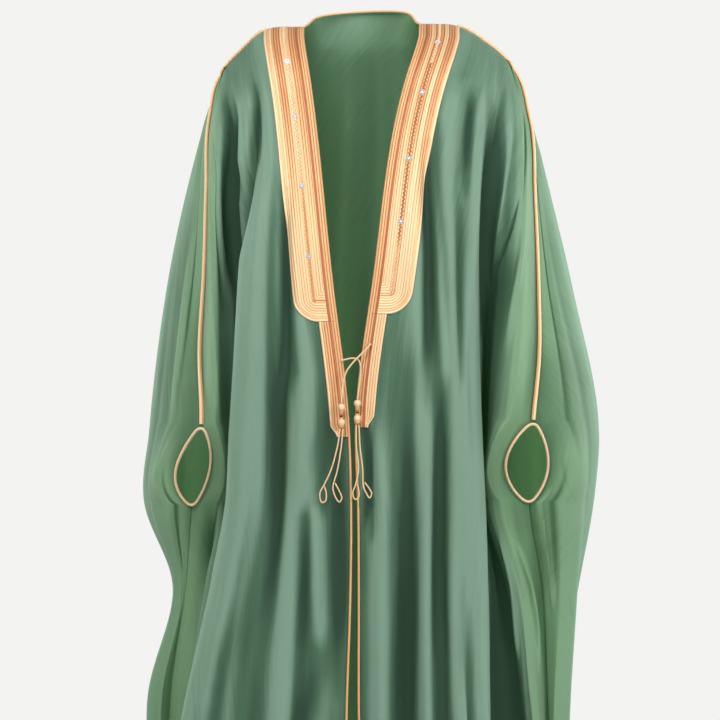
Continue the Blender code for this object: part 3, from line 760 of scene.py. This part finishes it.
# Small folds that only the fine surface shows, in the same columns
FINE_FOLDS = {
    "right": (
        (1.70, -8, 2.10, -34, 0.20, -1.2),
        (2.45, -20, 2.40, -52, 0.20, -1.8),
        (2.60, -10, 2.45, -36, 0.12, 0.7),
        (3.40, -36, 3.40, -58, 0.20, 0.6),
        (3.35, -8, 3.15, -40, 0.28, -2.0),
        (4.10, -14, 3.60, -44, 0.10, -0.45),
        (4.50, -16, 4.00, -56, 0.08, 0.30),
        (1.02, -42, 1.20, -86, 0.13, -0.7),
        (1.50, -24, 1.50, -76, 0.24, 1.0),
        (0.60, -42, 0.55, -60, 0.14, 0.5),
        (0.28, -54, 0.18, -96, 0.15, -0.8),
        (0.62, -62, 0.50, -84, 0.10, 0.6),
        (0.15, -78, 1.60, -150, 0.15, -1.6),
        (0.48, -80, 2.00, -150, 0.16, 0.9),
        (1.50, -66, 1.35, -150, 0.09, 0.6),
        (1.25, -70, 1.10, -150, 0.08, -0.6),
        (1.95, -74, 1.90, -150, 0.12, 0.7),
        (4.20, -67, 4.10, -110, 0.42, -3.4),
        (3.30, -64, 3.20, -150, 0.18, 0.7),
    ),
    "left": (
        (1.50, -8, 1.50, -26, 0.26, 0.7),
        (1.80, -11, 1.80, -22, 0.10, -0.5),
        (3.00, -9, 2.60, -46, 0.20, -1.1),
        (1.25, -18, 1.45, -52, 0.10, 0.6),
        (2.00, -20, 1.80, -48, 0.12, 0.7),
        (1.62, -24, 1.65, -54, 0.11, -0.8),
        (3.35, -14, 3.10, -40, 0.12, 0.7),
        (3.80, -25, 3.20, -37, 0.05, -0.7),
        (4.10, -28, 3.75, -48, 0.10, 0.7),
        (4.30, -12, 4.00, -30, 0.08, -0.4),
        (0.14, -54, 0.22, -74, 0.06, -0.6),
        (0.24, -56, 0.10, -72, 0.05, -0.4),
        (1.08, -60, 1.00, -150, 0.07, -0.5),
        (2.90, -68, 3.00, -150, 0.70, -2.6),
        (3.90, -73, 3.40, -92, 0.07, 0.8),
        (4.45, -74, 4.55, -94, 0.09, 0.7),
        (3.10, -80, 3.05, -150, 0.10, 0.6),
    ),
}
FINE_BACK_FOLDS = (
    (1.1, -30, 0.8, -62, 0.15, 0.6),
    (0.9, -20, 0.8, -64, 0.10, -0.35),
    (0.5, -62, 0.6, -80, 0.10, -0.40),
    (1.7, -16, 1.7, -60, 0.14, 0.45),
    (2.1, -60, 2.0, -150, 0.14, 0.6),
    (3.0, -10, 2.7, -50, 0.14, -0.4),
    (3.6, -60, 3.5, -150, 0.12, -0.7),
    (4.35, -50, 4.3, -150, 0.12, 0.6),
    (5.4, -70, 5.45, -150, 0.12, 0.6),
    (6.0, -60, 6.0, -150, 0.12, -0.6),
    (6.6, -16, 6.8, -70, 0.12, 0.4),
    (7.3, -60, 7.3, -150, 0.12, 0.6),
    (8.2, -18, 8.1, -60, 0.14, -0.45),
    (9.1, -20, 9.2, -64, 0.10, -0.35),
    (9.5, -62, 9.4, -84, 0.08, -0.45),
    (9.75, -66, 9.6, -84, 0.06, 0.35),
)

# %% [markdown]
# ## The panel
# The class turns the tables into a surface. across counts hang lines from one edge to the other, and down runs from
# the seam (0) to the hem (1). Level cuts are blended with the seam near the top, over a quarter round.

# %% The panel's surface
class Panel:
    """One panel of cloth, as a surface through its hang lines. across counts hang lines and down runs 0 to 1."""

    def __init__(self, top, stations, lines, folds, hems, facing, sides):
        self.seam = np.array(top) * CM  # points of the seam or neck that the panel hangs from
        self.seam_at = np.arange(len(top))
        self.stations = stations
        self.paths = [(-np.array(ups, float), np.array(outs) * CM, np.array(backs) * CM) for outs, backs, ups in lines]
        self.folds, self.hems, self.facing = folds, np.array(hems), facing
        self.lines = np.arange(len(stations))
        self.sides = sides  # for each side seam, its line, the way into the panel, and how far its cuff opens

    def place(self, line, up):
        """Out and back of one hang line at each height."""
        at, outs, backs = self.paths[line]
        level = np.clip(-up / CM, at[0], at[-1] + 3)
        return smooth(at, outs, level), smooth(at, backs, level)

    def plain(self, across, down):
        """Points of the surface before it is folded. across and down have the same shape."""
        top = smooth(self.seam_at, self.seam, smooth(self.lines, self.stations, across))
        hem = np.interp(across, self.lines, self.hems)
        up = top[..., 2] + (hem - top[..., 2]) * down
        share = smooth(self.lines, np.eye(len(self.lines)), across)
        placed = [self.place(line, up) for line in self.lines]
        out = sum(share[..., line] * placed[line][0] for line in self.lines)
        back = sum(share[..., line] * placed[line][1] for line in self.lines)
        drop = np.clip((top[..., 2] - up) / ROUNDING, 0, 1)
        turn = np.sqrt(1 - (1 - drop) ** 2)
        for line, step, opens in self.sides:
            turn = turn + (1 - turn) * ease(1 - np.abs(across - line))
        level = np.stack((out, back), -1)
        points = np.concatenate((top[..., :2] + (level - top[..., :2]) * turn[..., None], up[..., None]), -1)
        for line, step, opens in self.sides:
            inward = np.stack(placed[line + step], -1) - np.stack(placed[line], -1)
            inward = inward / np.maximum(np.linalg.norm(inward, axis=-1, keepdims=True), 1e-6)
            near = ease(1 - np.abs(across - line) / 1.8)
            swell = np.sin(np.pi * np.clip((down - WRIST) / (CUFF_FOOT - WRIST), 0, 1)) ** 0.7
            points[..., :2] += inward * (opens * CM * near * swell)[..., None]
        return points

    def facing_out(self, surface, across, down, step=1e-3):
        """Outward directions of a surface of this panel."""
        last = self.lines[-1]
        along = surface(np.minimum(across + step, last), down) - surface(np.maximum(across - step, 0), down)
        below = surface(across, np.minimum(down + step, 1)) - surface(across, np.maximum(down - step, 0))
        return unit(np.cross(along, below)) * self.facing

    def lifted(self, across, down, lift):
        """Points at a height above the folded surface."""
        return self.surface(across, down) + self.facing_out(self.surface, across, down) * lift

    def surface(self, across, down):
        points = self.plain(across, down)
        push = np.zeros(across.shape)
        for start, start_up, end, end_up, width, depth in self.folds:
            t = (points[..., 2] / CM - start_up) / (end_up - start_up)
            middle = start + (end - start) * t
            fades = np.clip(t, 0, 1)
            lasts = 4 * fades * (1 - fades) if end_up * CM > -LENGTH else ease(t * 2.2)
            push += depth * CM * lasts * np.exp(-(((across - middle) / width) ** 2))
        level = unit(self.facing_out(self.plain, across, down) * (1, 1, 0))
        return points + level * (push * ease(down * 12))[..., None]

# %% The three panels
FRONT_EDGE = 5  # the hang line of a front that lies on the side seam
BACK_EDGE = {"right": 0, "left": 10}  # and those of the back


def columns_of(rows):
    return tuple(zip(*rows))


def mirrored(values, sign):
    return tuple(value * sign for value in values)


def deepened(folds):
    """The main folds as thin cloth takes them: deeper than on the plain solid."""
    return tuple((*fold[:-1], fold[-1] * FOLD_DEPTH) for fold in folds)


def upper_seam(side):
    """The shoulder seam with the first point of the sleeve below it."""
    return SHOULDER[side] + SIDE[side][1:2]


def side_line(side, sign=1):
    """The hang line that runs down the sleeve and the side."""
    out, back, up = columns_of(SHOULDER[side][-2:-1] + SIDE[side])
    return mirrored(out, sign), back, up


def front_panel(side):
    sign = SIDES[side]
    lines = [(mirrored(out, sign), back, LEVELS) for station, out, back in FRONT_LINES[side].values()]
    lines.append(side_line(side, sign))
    hems = -LENGTH + sign * SLIP * np.array((1, 1, 0.8, 0.4, 0.1, 0))
    return Panel(
        [(out * sign, back, up) for out, back, up in upper_seam(side)],
        [row[0] for row in FRONT_LINES[side].values()] + [3],
        lines,
        deepened(FRONT_FOLDS[side]) + FINE_FOLDS[side],
        hems,
        -sign,
        [(FRONT_EDGE, -1, CUFF_OPENS[side]["front"])],
    )


def back_panel():
    """The back runs from the tip of the right shoulder, round the neck and out to the tip of the left shoulder."""
    top = [(-out, back, up) for out, back, up in reversed(upper_seam("right"))] + list(NECK + upper_seam("left"))
    right, left = BACK_LINES["right"].values(), list(BACK_LINES["left"].values())[::-1]
    stations = [1] + [4 - station for station, _, _ in right] + [6] + [8 + station for station, _, _ in left] + [11]
    lines = [side_line("right", -1)]
    lines += [(mirrored(out, -1), back, LEVELS) for _, out, back in right]
    lines += [((0,) * len(LEVELS), CENTRE_BACK, LEVELS)]
    lines += [(out, back, LEVELS) for _, out, back in left]
    lines += [side_line("left")]
    openings = [(BACK_EDGE[side], -SIDES[side], CUFF_OPENS[side]["back"]) for side in SIDES]
    folds = deepened(BACK_FOLDS) + FINE_BACK_FOLDS
    return Panel(top, stations, lines, folds, [-LENGTH] * len(lines), 1, openings)


panels = {side: front_panel(side) for side in SIDES}
panels["back"] = back_panel()
print("panels:", list(panels))

# %% [markdown]
# ## Cloth
# Each panel is one sheet. Its rows crowd together at the top, where the cloth turns, and at the cuff. A soft ripple is
# added on top of the placed folds, so that no stretch of cloth is perfectly even.

# %% Cloth
def shares(top, cuff, skirt):
    """Rows down the cloth: above the cuff, along it, and below it."""
    return np.concatenate((
        np.linspace(0, 1, top + 1)[:-1] ** 1.5 * WRIST,
        WRIST + (CUFF_FOOT - WRIST) * np.linspace(0, 1, cuff + 1)[:-1],
        CUFF_FOOT + (1 - CUFF_FOOT) * np.linspace(0, 1, skirt + 1),
    ))


PHASES = {"right": 0.6, "left": 2.1, "back": 4.0}


def ripple(across, down, phase):
    """Small uneven waves, stronger toward the hem and still at the front edge."""
    wave = np.sin(across * 9.0 + 1.7 * np.sin(down * 5 + phase) + phase)
    wave = wave + 0.7 * np.sin(across * 15.0 - 2.2 * np.sin(down * 4 + 2 * phase))
    wave = wave + 0.4 * np.sin(across * 27.0 + 3.0 * np.sin(down * 7 + phase) + down * 4)
    return wave * (0.6 + 2.0 * down) * MM


def cloth_points(name, across, down):
    """Points of the finished cloth, and the way out of it at each."""
    panel = panels[name]
    outward = panel.facing_out(panel.surface, across, down)
    still = ease((panel.lines[-1] - across) / 2.4) * ease(across / (2.4 if name == "back" else 0.9))
    push = ripple(across, down, PHASES[name]) * still * ease(down * 9)
    return panel.surface(across, down) + outward * push[..., None], outward


def hollows(points, outward):
    """How far each point lies inside (+) or outside (-) its neighbours along a level row, near and wide. The voile
    paints shade in the troughs and highlight on the ridges from it.
    """
    result = np.zeros(points.shape[:2])
    for row, (path, out) in enumerate(zip(points, outward)):
        at = run(path)
        for reach, full in ((2.4 * CM, 4.5 * MM), (6 * CM, 16 * MM)):
            result[row] += ((evened(path, at, reach) - path) * out).sum(-1) / full
    return np.clip(result, -1.1, 1.3)


CLOTH_ROWS = shares(78, 26, 88)
CLOTH_WALL = 1.0 * MM
cloth = {}
for name, columns in (("right", 140), ("left", 140), ("back", 230)):
    last = panels[name].lines[-1]
    across, down = np.meshgrid(np.linspace(0, last, columns), CLOTH_ROWS)
    points, outward = cloth_points(name, across, down)
    sizes = lengths(points)
    # free is where painted backlight warms the colour: the outer sleeves of the back and the outer parts of the fronts
    if name == "back":
        label, free = "cloth_back", 1 - ease((last / 2 - np.abs(across - last / 2)) / 2.8)
    else:
        label, free = "cloth_front_" + name, ease((across - 3.3) / 1.2)
    # the material paints shade in the troughs and highlight on the ridges by how hollow the cloth lies
    values = {"painted_fold_shade": hollows(points, outward), "free": free}
    cloth[name] = wall(grid_piece(label, points, panels[name].facing, uv=sizes, values=values), CLOTH_WALL)
    cloth[name].data.materials.append(voile)
    widest, longest = sizes[:, -1, 0].max(), sizes[-1, :, 1].max()
    print(label, f"widest {widest:.3f} m, longest {longest:.3f} m, area {flat_area(points):.3f} m2")

# %% [markdown]
# ## Embroidered bands
# The embroidery is metal thread couched down in ribs. Along the front edge the ribs run straight. The ribs of the wide
# band follow its outline, so they nest round its lower corner. "rib" carries the distance across them, and a node
# tree lifts the cloth along its normal by that value.

# %% Couched ribs
RIB_HEIGHT = 0.9 * MM


def rib_tree():
    tree = Builder("couched ribs", Rib_pitch="Float", Rib_height="Float", Thread="Material")
    size = tree.size
    turn = tree.math("MULTIPLY", tree.math("DIVIDE", tree.stored("rib"), size["Rib pitch"]), math.pi)
    ridge = tree.math("POWER", tree.math("ABSOLUTE", tree.math("SINE", turn)), 0.6)
    height = tree.math("MULTIPLY", tree.math("MULTIPLY", ridge, size["Rib height"]), tree.stored("lift"))
    offset = tree.scaled(tree.add("GeometryNodeInputNormal").outputs[0], height)
    return tree.finish(tree.add("GeometryNodeSetPosition", Geometry=size["Geometry"], Offset=offset), size["Thread"])


couched_ribs = rib_tree()

# %% Outline and colour of the bands
WIDE_BAND, NARROW_BAND, BAND_CORNER = 55 * MM, 24 * MM, 31 * MM
EDGE_STRIP = 10.5 * MM  # straight ribs beside the front edge
WIDE_END, NARROW_END = 0.299, 0.410  # shares of the way down

# Colour zones by distance from the outline: to mm, tone at the top, tone at the foot
ZONES = {
    "right": (
        (4.5, 0.02, 0.02),
        (6.0, 0.75, 0.6),
        (11, 0.08, 0.08),
        (23, 0.80, 0.22),
        (26, 0.02, 0.12),
        (31, 0.62, 0.62),
        (33, 0.05, 0.1),
        (60, 0.74, 0.25),
    ),
    "left": (
        (4.5, 0.02, 0.02),
        (6.0, 0.7, 0.6),
        (15, 0.80, 0.15),
        (20, 0.15, 0.08),
        (24, 0.80, 0.10),
        (29, 0.60, 0.45),
        (34, 0.80, 0.12),
        (39, 0.2, 0.1),
        (60, 0.72, 0.2),
    ),
}
EDGE_ZONES = ((3.2, 0.50, 0.50), (7.4, 0.72, 0.72), (10.5, 1.05, 1.05))


def zone_tone(zones, distance, share):
    """Tone at a distance, blended from top to foot."""
    tone, start = np.zeros_like(distance), 0.0
    for end, top, foot in zones:
        inside = ease((distance - start * MM) / (0.5 * MM)) * (1 - ease((distance - end * MM) / (0.5 * MM)))
        tone = np.maximum(tone, inside * (top + (foot - top) * share))
        start = end
    return tone


def band_width(down):
    up = (WIDE_END - down) * LENGTH / BAND_CORNER
    inset = 1 - np.sqrt(1 - (1 - np.clip(up, 0, 1)) ** 2)
    return WIDE_BAND - (WIDE_BAND - NARROW_BAND) * inset


def on_front(side, reach, down):
    """Points, and outward directions, at a distance from the front edge and a share of the way down."""
    fine = np.linspace(0, 1.6, 161)
    rows = panels[side].surface(*np.broadcast_arrays(fine[None, :], down[:, :1]))
    spots = np.stack([np.interp(reach[row], run(rows[row]), fine) for row in range(len(reach))])
    return cloth_points(side, spots, down)


BAND_HEIGHT, BAND_BACKING = 1.4 * MM, 0.9 * MM  # above the cloth, and its own thickness


def wide_ribs(side, reach, down):
    """Distance from the outline of a wide band, round its lower corner, and the tone there."""
    side_way, foot_way = WIDE_BAND - reach, (WIDE_END - down) * LENGTH
    round_part = (side_way < BAND_CORNER) & (foot_way < BAND_CORNER)
    arc = BAND_CORNER - np.hypot(BAND_CORNER - side_way, BAND_CORNER - foot_way)
    rib = np.where(round_part, arc, np.minimum(side_way, foot_way))
    return rib, zone_tone(ZONES[side], np.maximum(rib, 0), np.clip((down / WIDE_END - 0.25) / 0.45, 0, 1))


def narrow_ribs(side, reach, widths):
    rib = widths[:, None] - reach
    return rib, zone_tone(((3.6, 0.05, 0.05), (24, 0.60 if side == "right" else 0.22, 0)), rib, 0)


def band(side, kind, downs, widths, columns):
    """Embroidered band along the front edge: rows at downs, each as wide as widths says."""
    reach = widths[:, None] * np.linspace(0, 1, columns)[None, :]
    down = np.repeat(downs[:, None], columns, 1)
    points, outward = on_front(side, reach, down)
    rib, tone = wide_ribs(side, reach, down) if kind == "band" else narrow_ribs(side, reach, widths)
    edge = reach < EDGE_STRIP
    rib = np.where(edge, reach, rib)
    tone = np.where(edge, zone_tone(EDGE_ZONES, reach, 0), tone)
    values = {"rib": rib, "tone": tone, "lift": ease(rib / (1.2 * MM))}
    uv = np.stack((reach, down * LENGTH), -1)
    piece = grid_piece(kind + "_" + side, points + outward * BAND_HEIGHT, panels[side].facing, uv, values)
    couched_ribs.put_on(piece, {"Rib pitch": RIB, "Rib height": RIB_HEIGHT, "Thread": zari})
    print(piece.name, len(piece.data.polygons), "faces")
    return wall(piece, BAND_BACKING)


wide_rows = np.concatenate((np.linspace(0.002, 0.262, 150), np.linspace(0.2625, WIDE_END, 70)))
narrow_rows = np.linspace(WIDE_END + 0.0001, NARROW_END, 90)
slant = NARROW_BAND * (1 - 0.35 * ease((narrow_rows - NARROW_END + 0.012) / 0.012))  # the foot is cut at a slant
bands, strips = {}, {}
for side in SIDES:
    bands[side] = band(side, "band", wide_rows, band_width(wide_rows), 104)
    strips[side] = band(side, "strip", narrow_rows, slant, 48)

# %% [markdown]
# ## Chain stitch and sequins
# A row of chain stitch runs down the middle of each wide band. Its links lean left and right in turn, so an instance
# of one small link is set on points along a path, and turned by the parity of its index. The sequin flowers are
# six small discs round a seventh.

# %% Node trees for stitches
def chain_tree():
    tree = Builder("chain stitch", Link_length="Float", Link_width="Float", Lean="Float", Thread="Material")
    size = tree.size
    path = tree.add("GeometryNodeMeshToCurve", Mesh=size["Geometry"]).outputs[0]
    step = tree.math("MULTIPLY", size["Link length"], 0.48)
    row = tree.add("GeometryNodeResampleCurve", {"mode": "LENGTH"}, Curve=path, Length=step)
    up = tree.stored("up", "FLOAT_VECTOR")
    tangent = tree.add("GeometryNodeInputTangent").outputs[0]
    side = tree.vector("CROSS_PRODUCT", up, tangent)
    odd = tree.math("MODULO", tree.add("GeometryNodeInputIndex").outputs[0], 2.0)
    turn = tree.math("SUBTRACT", tree.math("MULTIPLY", odd, 2.0), 1.0)  # -1, 1, -1, ...
    heading = tree.vector("ADD", tangent, tree.scaled(side, tree.math("MULTIPLY", turn, size["Lean"])))
    upright = tree.add("FunctionNodeAlignRotationToVector", {"axis": "Z"}, Vector=up).outputs[0]
    way = {"axis": "X", "pivot_axis": "Z"}
    turned = tree.add("FunctionNodeAlignRotationToVector", way, Rotation=upright, Vector=heading).outputs[0]
    link = tree.add("GeometryNodeMeshIcoSphere", Radius=0.5, Subdivisions=2).outputs[0]
    width = size["Link width"]
    shape = tree.add("ShaderNodeCombineXYZ", X=size["Link length"], Y=width, Z=tree.math("MULTIPLY", width, 0.8))
    links = {"Instance": link, "Rotation": turned, "Scale": shape.outputs[0]}
    placed = tree.add("GeometryNodeInstanceOnPoints", Points=row.outputs[0], **links)
    return tree.finish(placed, size["Thread"], soft=True)


def flower_tree():
    tree = Builder("sequin flower", Sequin_radius="Float", Flower_radius="Float", Foil="Material")
    size = tree.size
    ring = tree.add("GeometryNodeMeshCircle", Vertices=6, Radius=size["Flower radius"]).outputs[0]
    disc = tree.add("GeometryNodeMeshCylinder", Vertices=9, Radius=size["Sequin radius"], Depth=0.0005).outputs[0]
    petals = tree.add("GeometryNodeInstanceOnPoints", Points=ring, Instance=disc, Rotation=(0.35, 0.25, 0))
    middle = tree.add("GeometryNodeTransform", Geometry=disc, Translation=(0, 0, 0.0005))
    flower = tree.joined(petals, middle).outputs[0]
    up = tree.stored("up", "FLOAT_VECTOR")
    facing = tree.add("FunctionNodeAlignRotationToVector", {"axis": "Z"}, Vector=up).outputs[0]
    placed = {"Points": size["Geometry"], "Instance": flower, "Rotation": facing}
    return tree.finish(tree.add("GeometryNodeInstanceOnPoints", **placed), size["Foil"])


chain_stitch, sequin_flower = chain_tree(), flower_tree()

# %% Stitches on the bands
CHAIN_AT = 26.5 * MM  # from the front edge
CHAIN_HEIGHT, FLOWER_HEIGHT = 2.6 * MM, 3.1 * MM  # above the cloth
LINK = {"Link length": 6.0 * MM, "Link width": 2.1 * MM, "Lean": 1.25, "Thread": gold_cord}
FLOWER = {"Sequin radius": 1.35 * MM, "Flower radius": 3.1 * MM, "Foil": silver}
FLOWERS = {"right": (0.043, 0.098, 0.167, 0.236), "left": (0.026, 0.078, 0.145, 0.208)}  # shares of the way down


def chain_tone(side, share):
    """Tone of the chain by its share of the way down the band."""
    if side == "right":
        return 0.02 + 0.75 * ease((share - 0.45) / 0.2)
    return np.where(share < 0.15, 0.05, 0.95 - 0.55 * ease((share - 0.72) / 0.08))


def stitched(name, side, downs, height):
    """Path down the middle of a band, with the way up from the cloth at each point."""
    spots, up = on_front(side, np.full((len(downs), 1), CHAIN_AT), np.array(downs)[:, None])
    return path_piece(name + "_" + side, spots[:, 0] + up[:, 0] * height, up=up[:, 0])


chains, flowers = {}, {}
for side in SIDES:
    chain = stitched("chain", side, np.linspace(0.004, WIDE_END - 0.020, 120), CHAIN_HEIGHT)
    chains[side] = chain_stitch.put_on(chain, LINK)
    mesh = chain.data
    spots = np.zeros(len(mesh.vertices) * 3, np.float32)
    mesh.vertices.foreach_get("co", spots)
    set_values(mesh, "tone", chain_tone(side, np.clip(-spots[2::3] / (WIDE_END * LENGTH), 0, 1)))
    flowers[side] = sequin_flower.put_on(stitched("sequins", side, FLOWERS[side], FLOWER_HEIGHT), FLOWER)
    print(chain.name, len(mesh.polygons), flowers[side].name, len(flowers[side].data.polygons), "faces")

# %% [markdown]
# ## Seam cords
# A cream cord with a thin orange line on each side covers the shoulder seam and goes round each cuff. The same cord,
# thinner, edges the neck and both fronts down to the hem.

# %% Seam cords
STEP = 3 * MM  # between points of a cord's path
SEAM_CORD = {"radius": 2.3 * MM, "pitch": 8 * MM}
EDGE_CORD = {"radius": 1.9 * MM, "pitch": 7 * MM}
SEAM_START, SEAM_STOP = 52 * MM, 1 * MM  # left bare at the band and at the cuff


def seam_path(side, lift):
    """Points above the shoulder seam and then down the sleeve."""
    panel, back = panels[side], panels["back"]
    down_sleeve = np.linspace(0, WRIST, 201)[1:]
    across = np.concatenate((np.linspace(0, FRONT_EDGE, 400), np.full(200, float(FRONT_EDGE))))
    down = np.concatenate((np.zeros(400), down_sleeve))
    points = panel.surface(across, down)
    outward = panel.facing_out(panel.surface, across, down)
    behind = back.facing_out(back.surface, np.full(200, float(BACK_EDGE[side])), down_sleeve)
    outward[400:] = unit(outward[400:] + behind)
    length = run(points)
    raised = evened(points, length, 0.6 * CM) + unit(evened(outward, length, 2 * CM)) * lift
    return spread(raised[(length > SEAM_START) & (length < length[-1] - SEAM_STOP)], STEP)


shoulder_cords = {}
for side in SIDES:
    shoulder_cords[side] = lay_cord(f"shoulder_cord_{side}_laid", seam_path(side, 2.2 * MM), **SEAM_CORD, tone=0.06)

# %% Orange lines beside the seam cords
def beside(path, gap):
    """A path moved sideways, at right angles to its course and to the way out from the cloak's middle."""
    middle = np.stack((path[:, 0] * 0.55, path[:, 1] * 0 + 0.02, path[:, 2]), -1)
    return path + unit(np.cross(unit(np.gradient(path, axis=0)), unit(path - middle))) * gap


seam_lines = {}
for side in SIDES:
    path = seam_path(side, 1.4 * MM)
    seam_lines[side] = [
        lay_cord(f"seam_line_{side}_{label}", beside(path, gap), 1.1 * MM, 5 * MM, 0.78)
        for label, gap in (("in", -2.9 * MM), ("out", 2.9 * MM))
    ]

# %% Cords round the cuffs
cuff_cords = {}
for side in SIDES:
    down = np.linspace(WRIST, CUFF_FOOT, 60)
    front = panels[side].lifted(np.full(60, float(FRONT_EDGE)), down, 2.0 * MM)
    rear = panels["back"].lifted(np.full(60, float(BACK_EDGE[side])), down, 2.0 * MM)
    loop = np.concatenate((front[:-1], rear[::-1][:-1]))
    count = len(loop)
    apart = np.arange(count)[:, None] - np.arange(count)[None, :]
    weight = np.exp(-(((apart + count // 2) % count - count // 2) / 2.0) ** 2)
    loop = weight @ loop / weight.sum(1)[:, None]
    cuff_cords[side] = lay_cord(f"cuff_cord_{side}_laid", loop, **SEAM_CORD, tone=0.10, closed=True)

# %% Cords down the fronts and round the neck
def toward(panel, edge, across, down):
    """The way from an edge into the panel."""
    return unit(panel.surface(across, down) - edge)


front_cords = {}
down = np.concatenate((np.linspace(0.004, 0.1, 60), np.linspace(0.1, 1, 320)[1:]))
still = np.zeros(len(down))
for side in SIDES:
    panel = panels[side]
    inward = toward(panel, panel.surface(still, down), still + 0.05, down)
    path = spread(panel.lifted(still, down, 0.4 * MM) - inward * (1.6 * MM), STEP)
    front_cords[side] = lay_cord(f"front_cord_{side}_laid", path, **EDGE_CORD, tone=0.60)
across, still = np.linspace(4.0, 6.0, 80), np.zeros(80)
edge = panels["back"].surface(across, still)
path = spread(edge - toward(panels["back"], edge, across, still + 0.01) * (1.7 * MM), STEP)
neck_cord = lay_cord("neck_cord_laid", path, **EDGE_CORD, tone=0.35)

# %% [markdown]
# ## Room and light
# The cloak stands over a pale round floor, in a white room. One soft key light from the front and above models the
# folds, a weaker one opens their shadows, and two small ones behind shine through the edges of the sleeves.

# %% Room
FLOOR = -1.47
ring = np.linspace(0, 2 * math.pi, 65)[:-1]
radii = np.array((0.02, 1.2, 2.5))[:, None]
spots = np.stack((radii * np.cos(ring), radii * np.sin(ring), np.full((3, 64), FLOOR)), -1)
room = grid_piece("floor", spots, -1, wrap=True)
room.data.materials.append(Finish("pale paper").paint(Base_Color=(0.90, 0.89, 0.875, 1), Roughness=0.9))
room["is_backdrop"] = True

# %% Light
#    name, place, target, size, power, colour
LIGHTS = (
    ("key", (-0.6, -2.1, 1.35), (0, 0, -0.3), 0.8, 76, (1.0, 0.985, 0.96)),
    ("fill", (2.2, -2.3, 0.6), (0.15, 0, -0.3), 1.1, 60, (0.98, 0.99, 1.0)),
    ("sleeve_right", (-1.5, 0.6, -0.2), (-0.25, 0.05, -0.5), 0.6, 18, (1, 1, 1)),
    ("sleeve_left", (1.5, 0.6, -0.2), (0.25, 0.05, -0.5), 0.6, 26, (1, 1, 1)),
)
for name, place, target, size, power, colour in LIGHTS:
    data = bpy.data.lights.new(name, "AREA")
    data.shape, data.size, data.energy, data.color = "SQUARE", size, power, colour
    way = [t - p for t, p in zip(target, place)]
    lamp = put_in_scene(name, data)
    lamp.location = place
    turn = math.atan2(way[1], way[0]) - math.pi / 2
    lamp.rotation_euler = (math.atan2(math.hypot(way[0], way[1]), -way[2]), 0, turn)

SOFT_LIGHT, WHITE_ROOM = ((1.0, 0.99, 0.98, 1), 0.30), ((0.90, 0.895, 0.885, 1), 1.0)  # colour, strength
world = bpy.data.worlds.new("studio")
world.use_nodes = True
sky = Nodes(world.node_tree)
soft_light = world.node_tree.nodes["Background"]
sky.feed(soft_light, {"Color": SOFT_LIGHT[0], "Strength": SOFT_LIGHT[1]})
white_room = sky.add("ShaderNodeBackground", Color=WHITE_ROOM[0], Strength=WHITE_ROOM[1])
seen = sky.add("ShaderNodeLightPath").outputs["Is Camera Ray"]
choice = sky.add("ShaderNodeMixShader", _0=seen, _1=soft_light.outputs[0], _2=white_room.outputs[0])
sky.feed(world.node_tree.nodes["World Output"], {"Surface": choice.outputs[0]})
bpy.context.scene.world = world
bpy.context.scene.view_settings.view_transform = "Standard"

# %% [markdown]
# ## Which piece stands for what
# Every fine piece rides on the cloak's one body, and takes the place of its solid.

# %% Ride and replace
def stand_for(piece, slot, *solids):
    """Fix a piece to the cloak's body, in place of its solids. The part of the colour scheme, slot, is not used."""
    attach(piece, "root")
    if solids:
        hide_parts(*solids)


stand_for(cloth["back"], "green_voile", "back")
stand_for(neck_cord, "gold_cord", "neck_cord")
for side in SIDES:
    stand_for(cloth[side], "green_voile", "front_" + side)
    stand_for(bands[side], "gold_zari", "zari_band_" + side)
    stand_for(strips[side], "gold_zari", "zari_strip_" + side)
    stand_for(chains[side], "gold_zari")
    stand_for(flowers[side], "gold_zari")
    stand_for(shoulder_cords[side], "gold_cord", "shoulder_cord_" + side)
    for line in seam_lines[side]:
        stand_for(line, "gold_cord")
    stand_for(cuff_cords[side], "gold_cord", "cuff_cord_" + side)
    stand_for(front_cords[side], "gold_cord", "front_cord_" + side)
    stand_for(spools[side][0], "gold_cord", "tie_spool_" + side)
    stand_for(spools[side][1], "gold_cord")
    stand_for(ties[side], "tie_silk", "tie_cord_" + side)
for name in TAILS:
    stand_for(tails[name], "tie_silk", "tie_tail_" + name)


# %% Sizes
boxes = {"cad": solid_box, "visual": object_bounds()}
boxes = {kind: [[float(x) for x in corner] for corner in box] for kind, box in boxes.items()}
print("grown by", [[round(b - a, 4) for a, b in zip(*pair)] for pair in zip(boxes["cad"], boxes["visual"])])
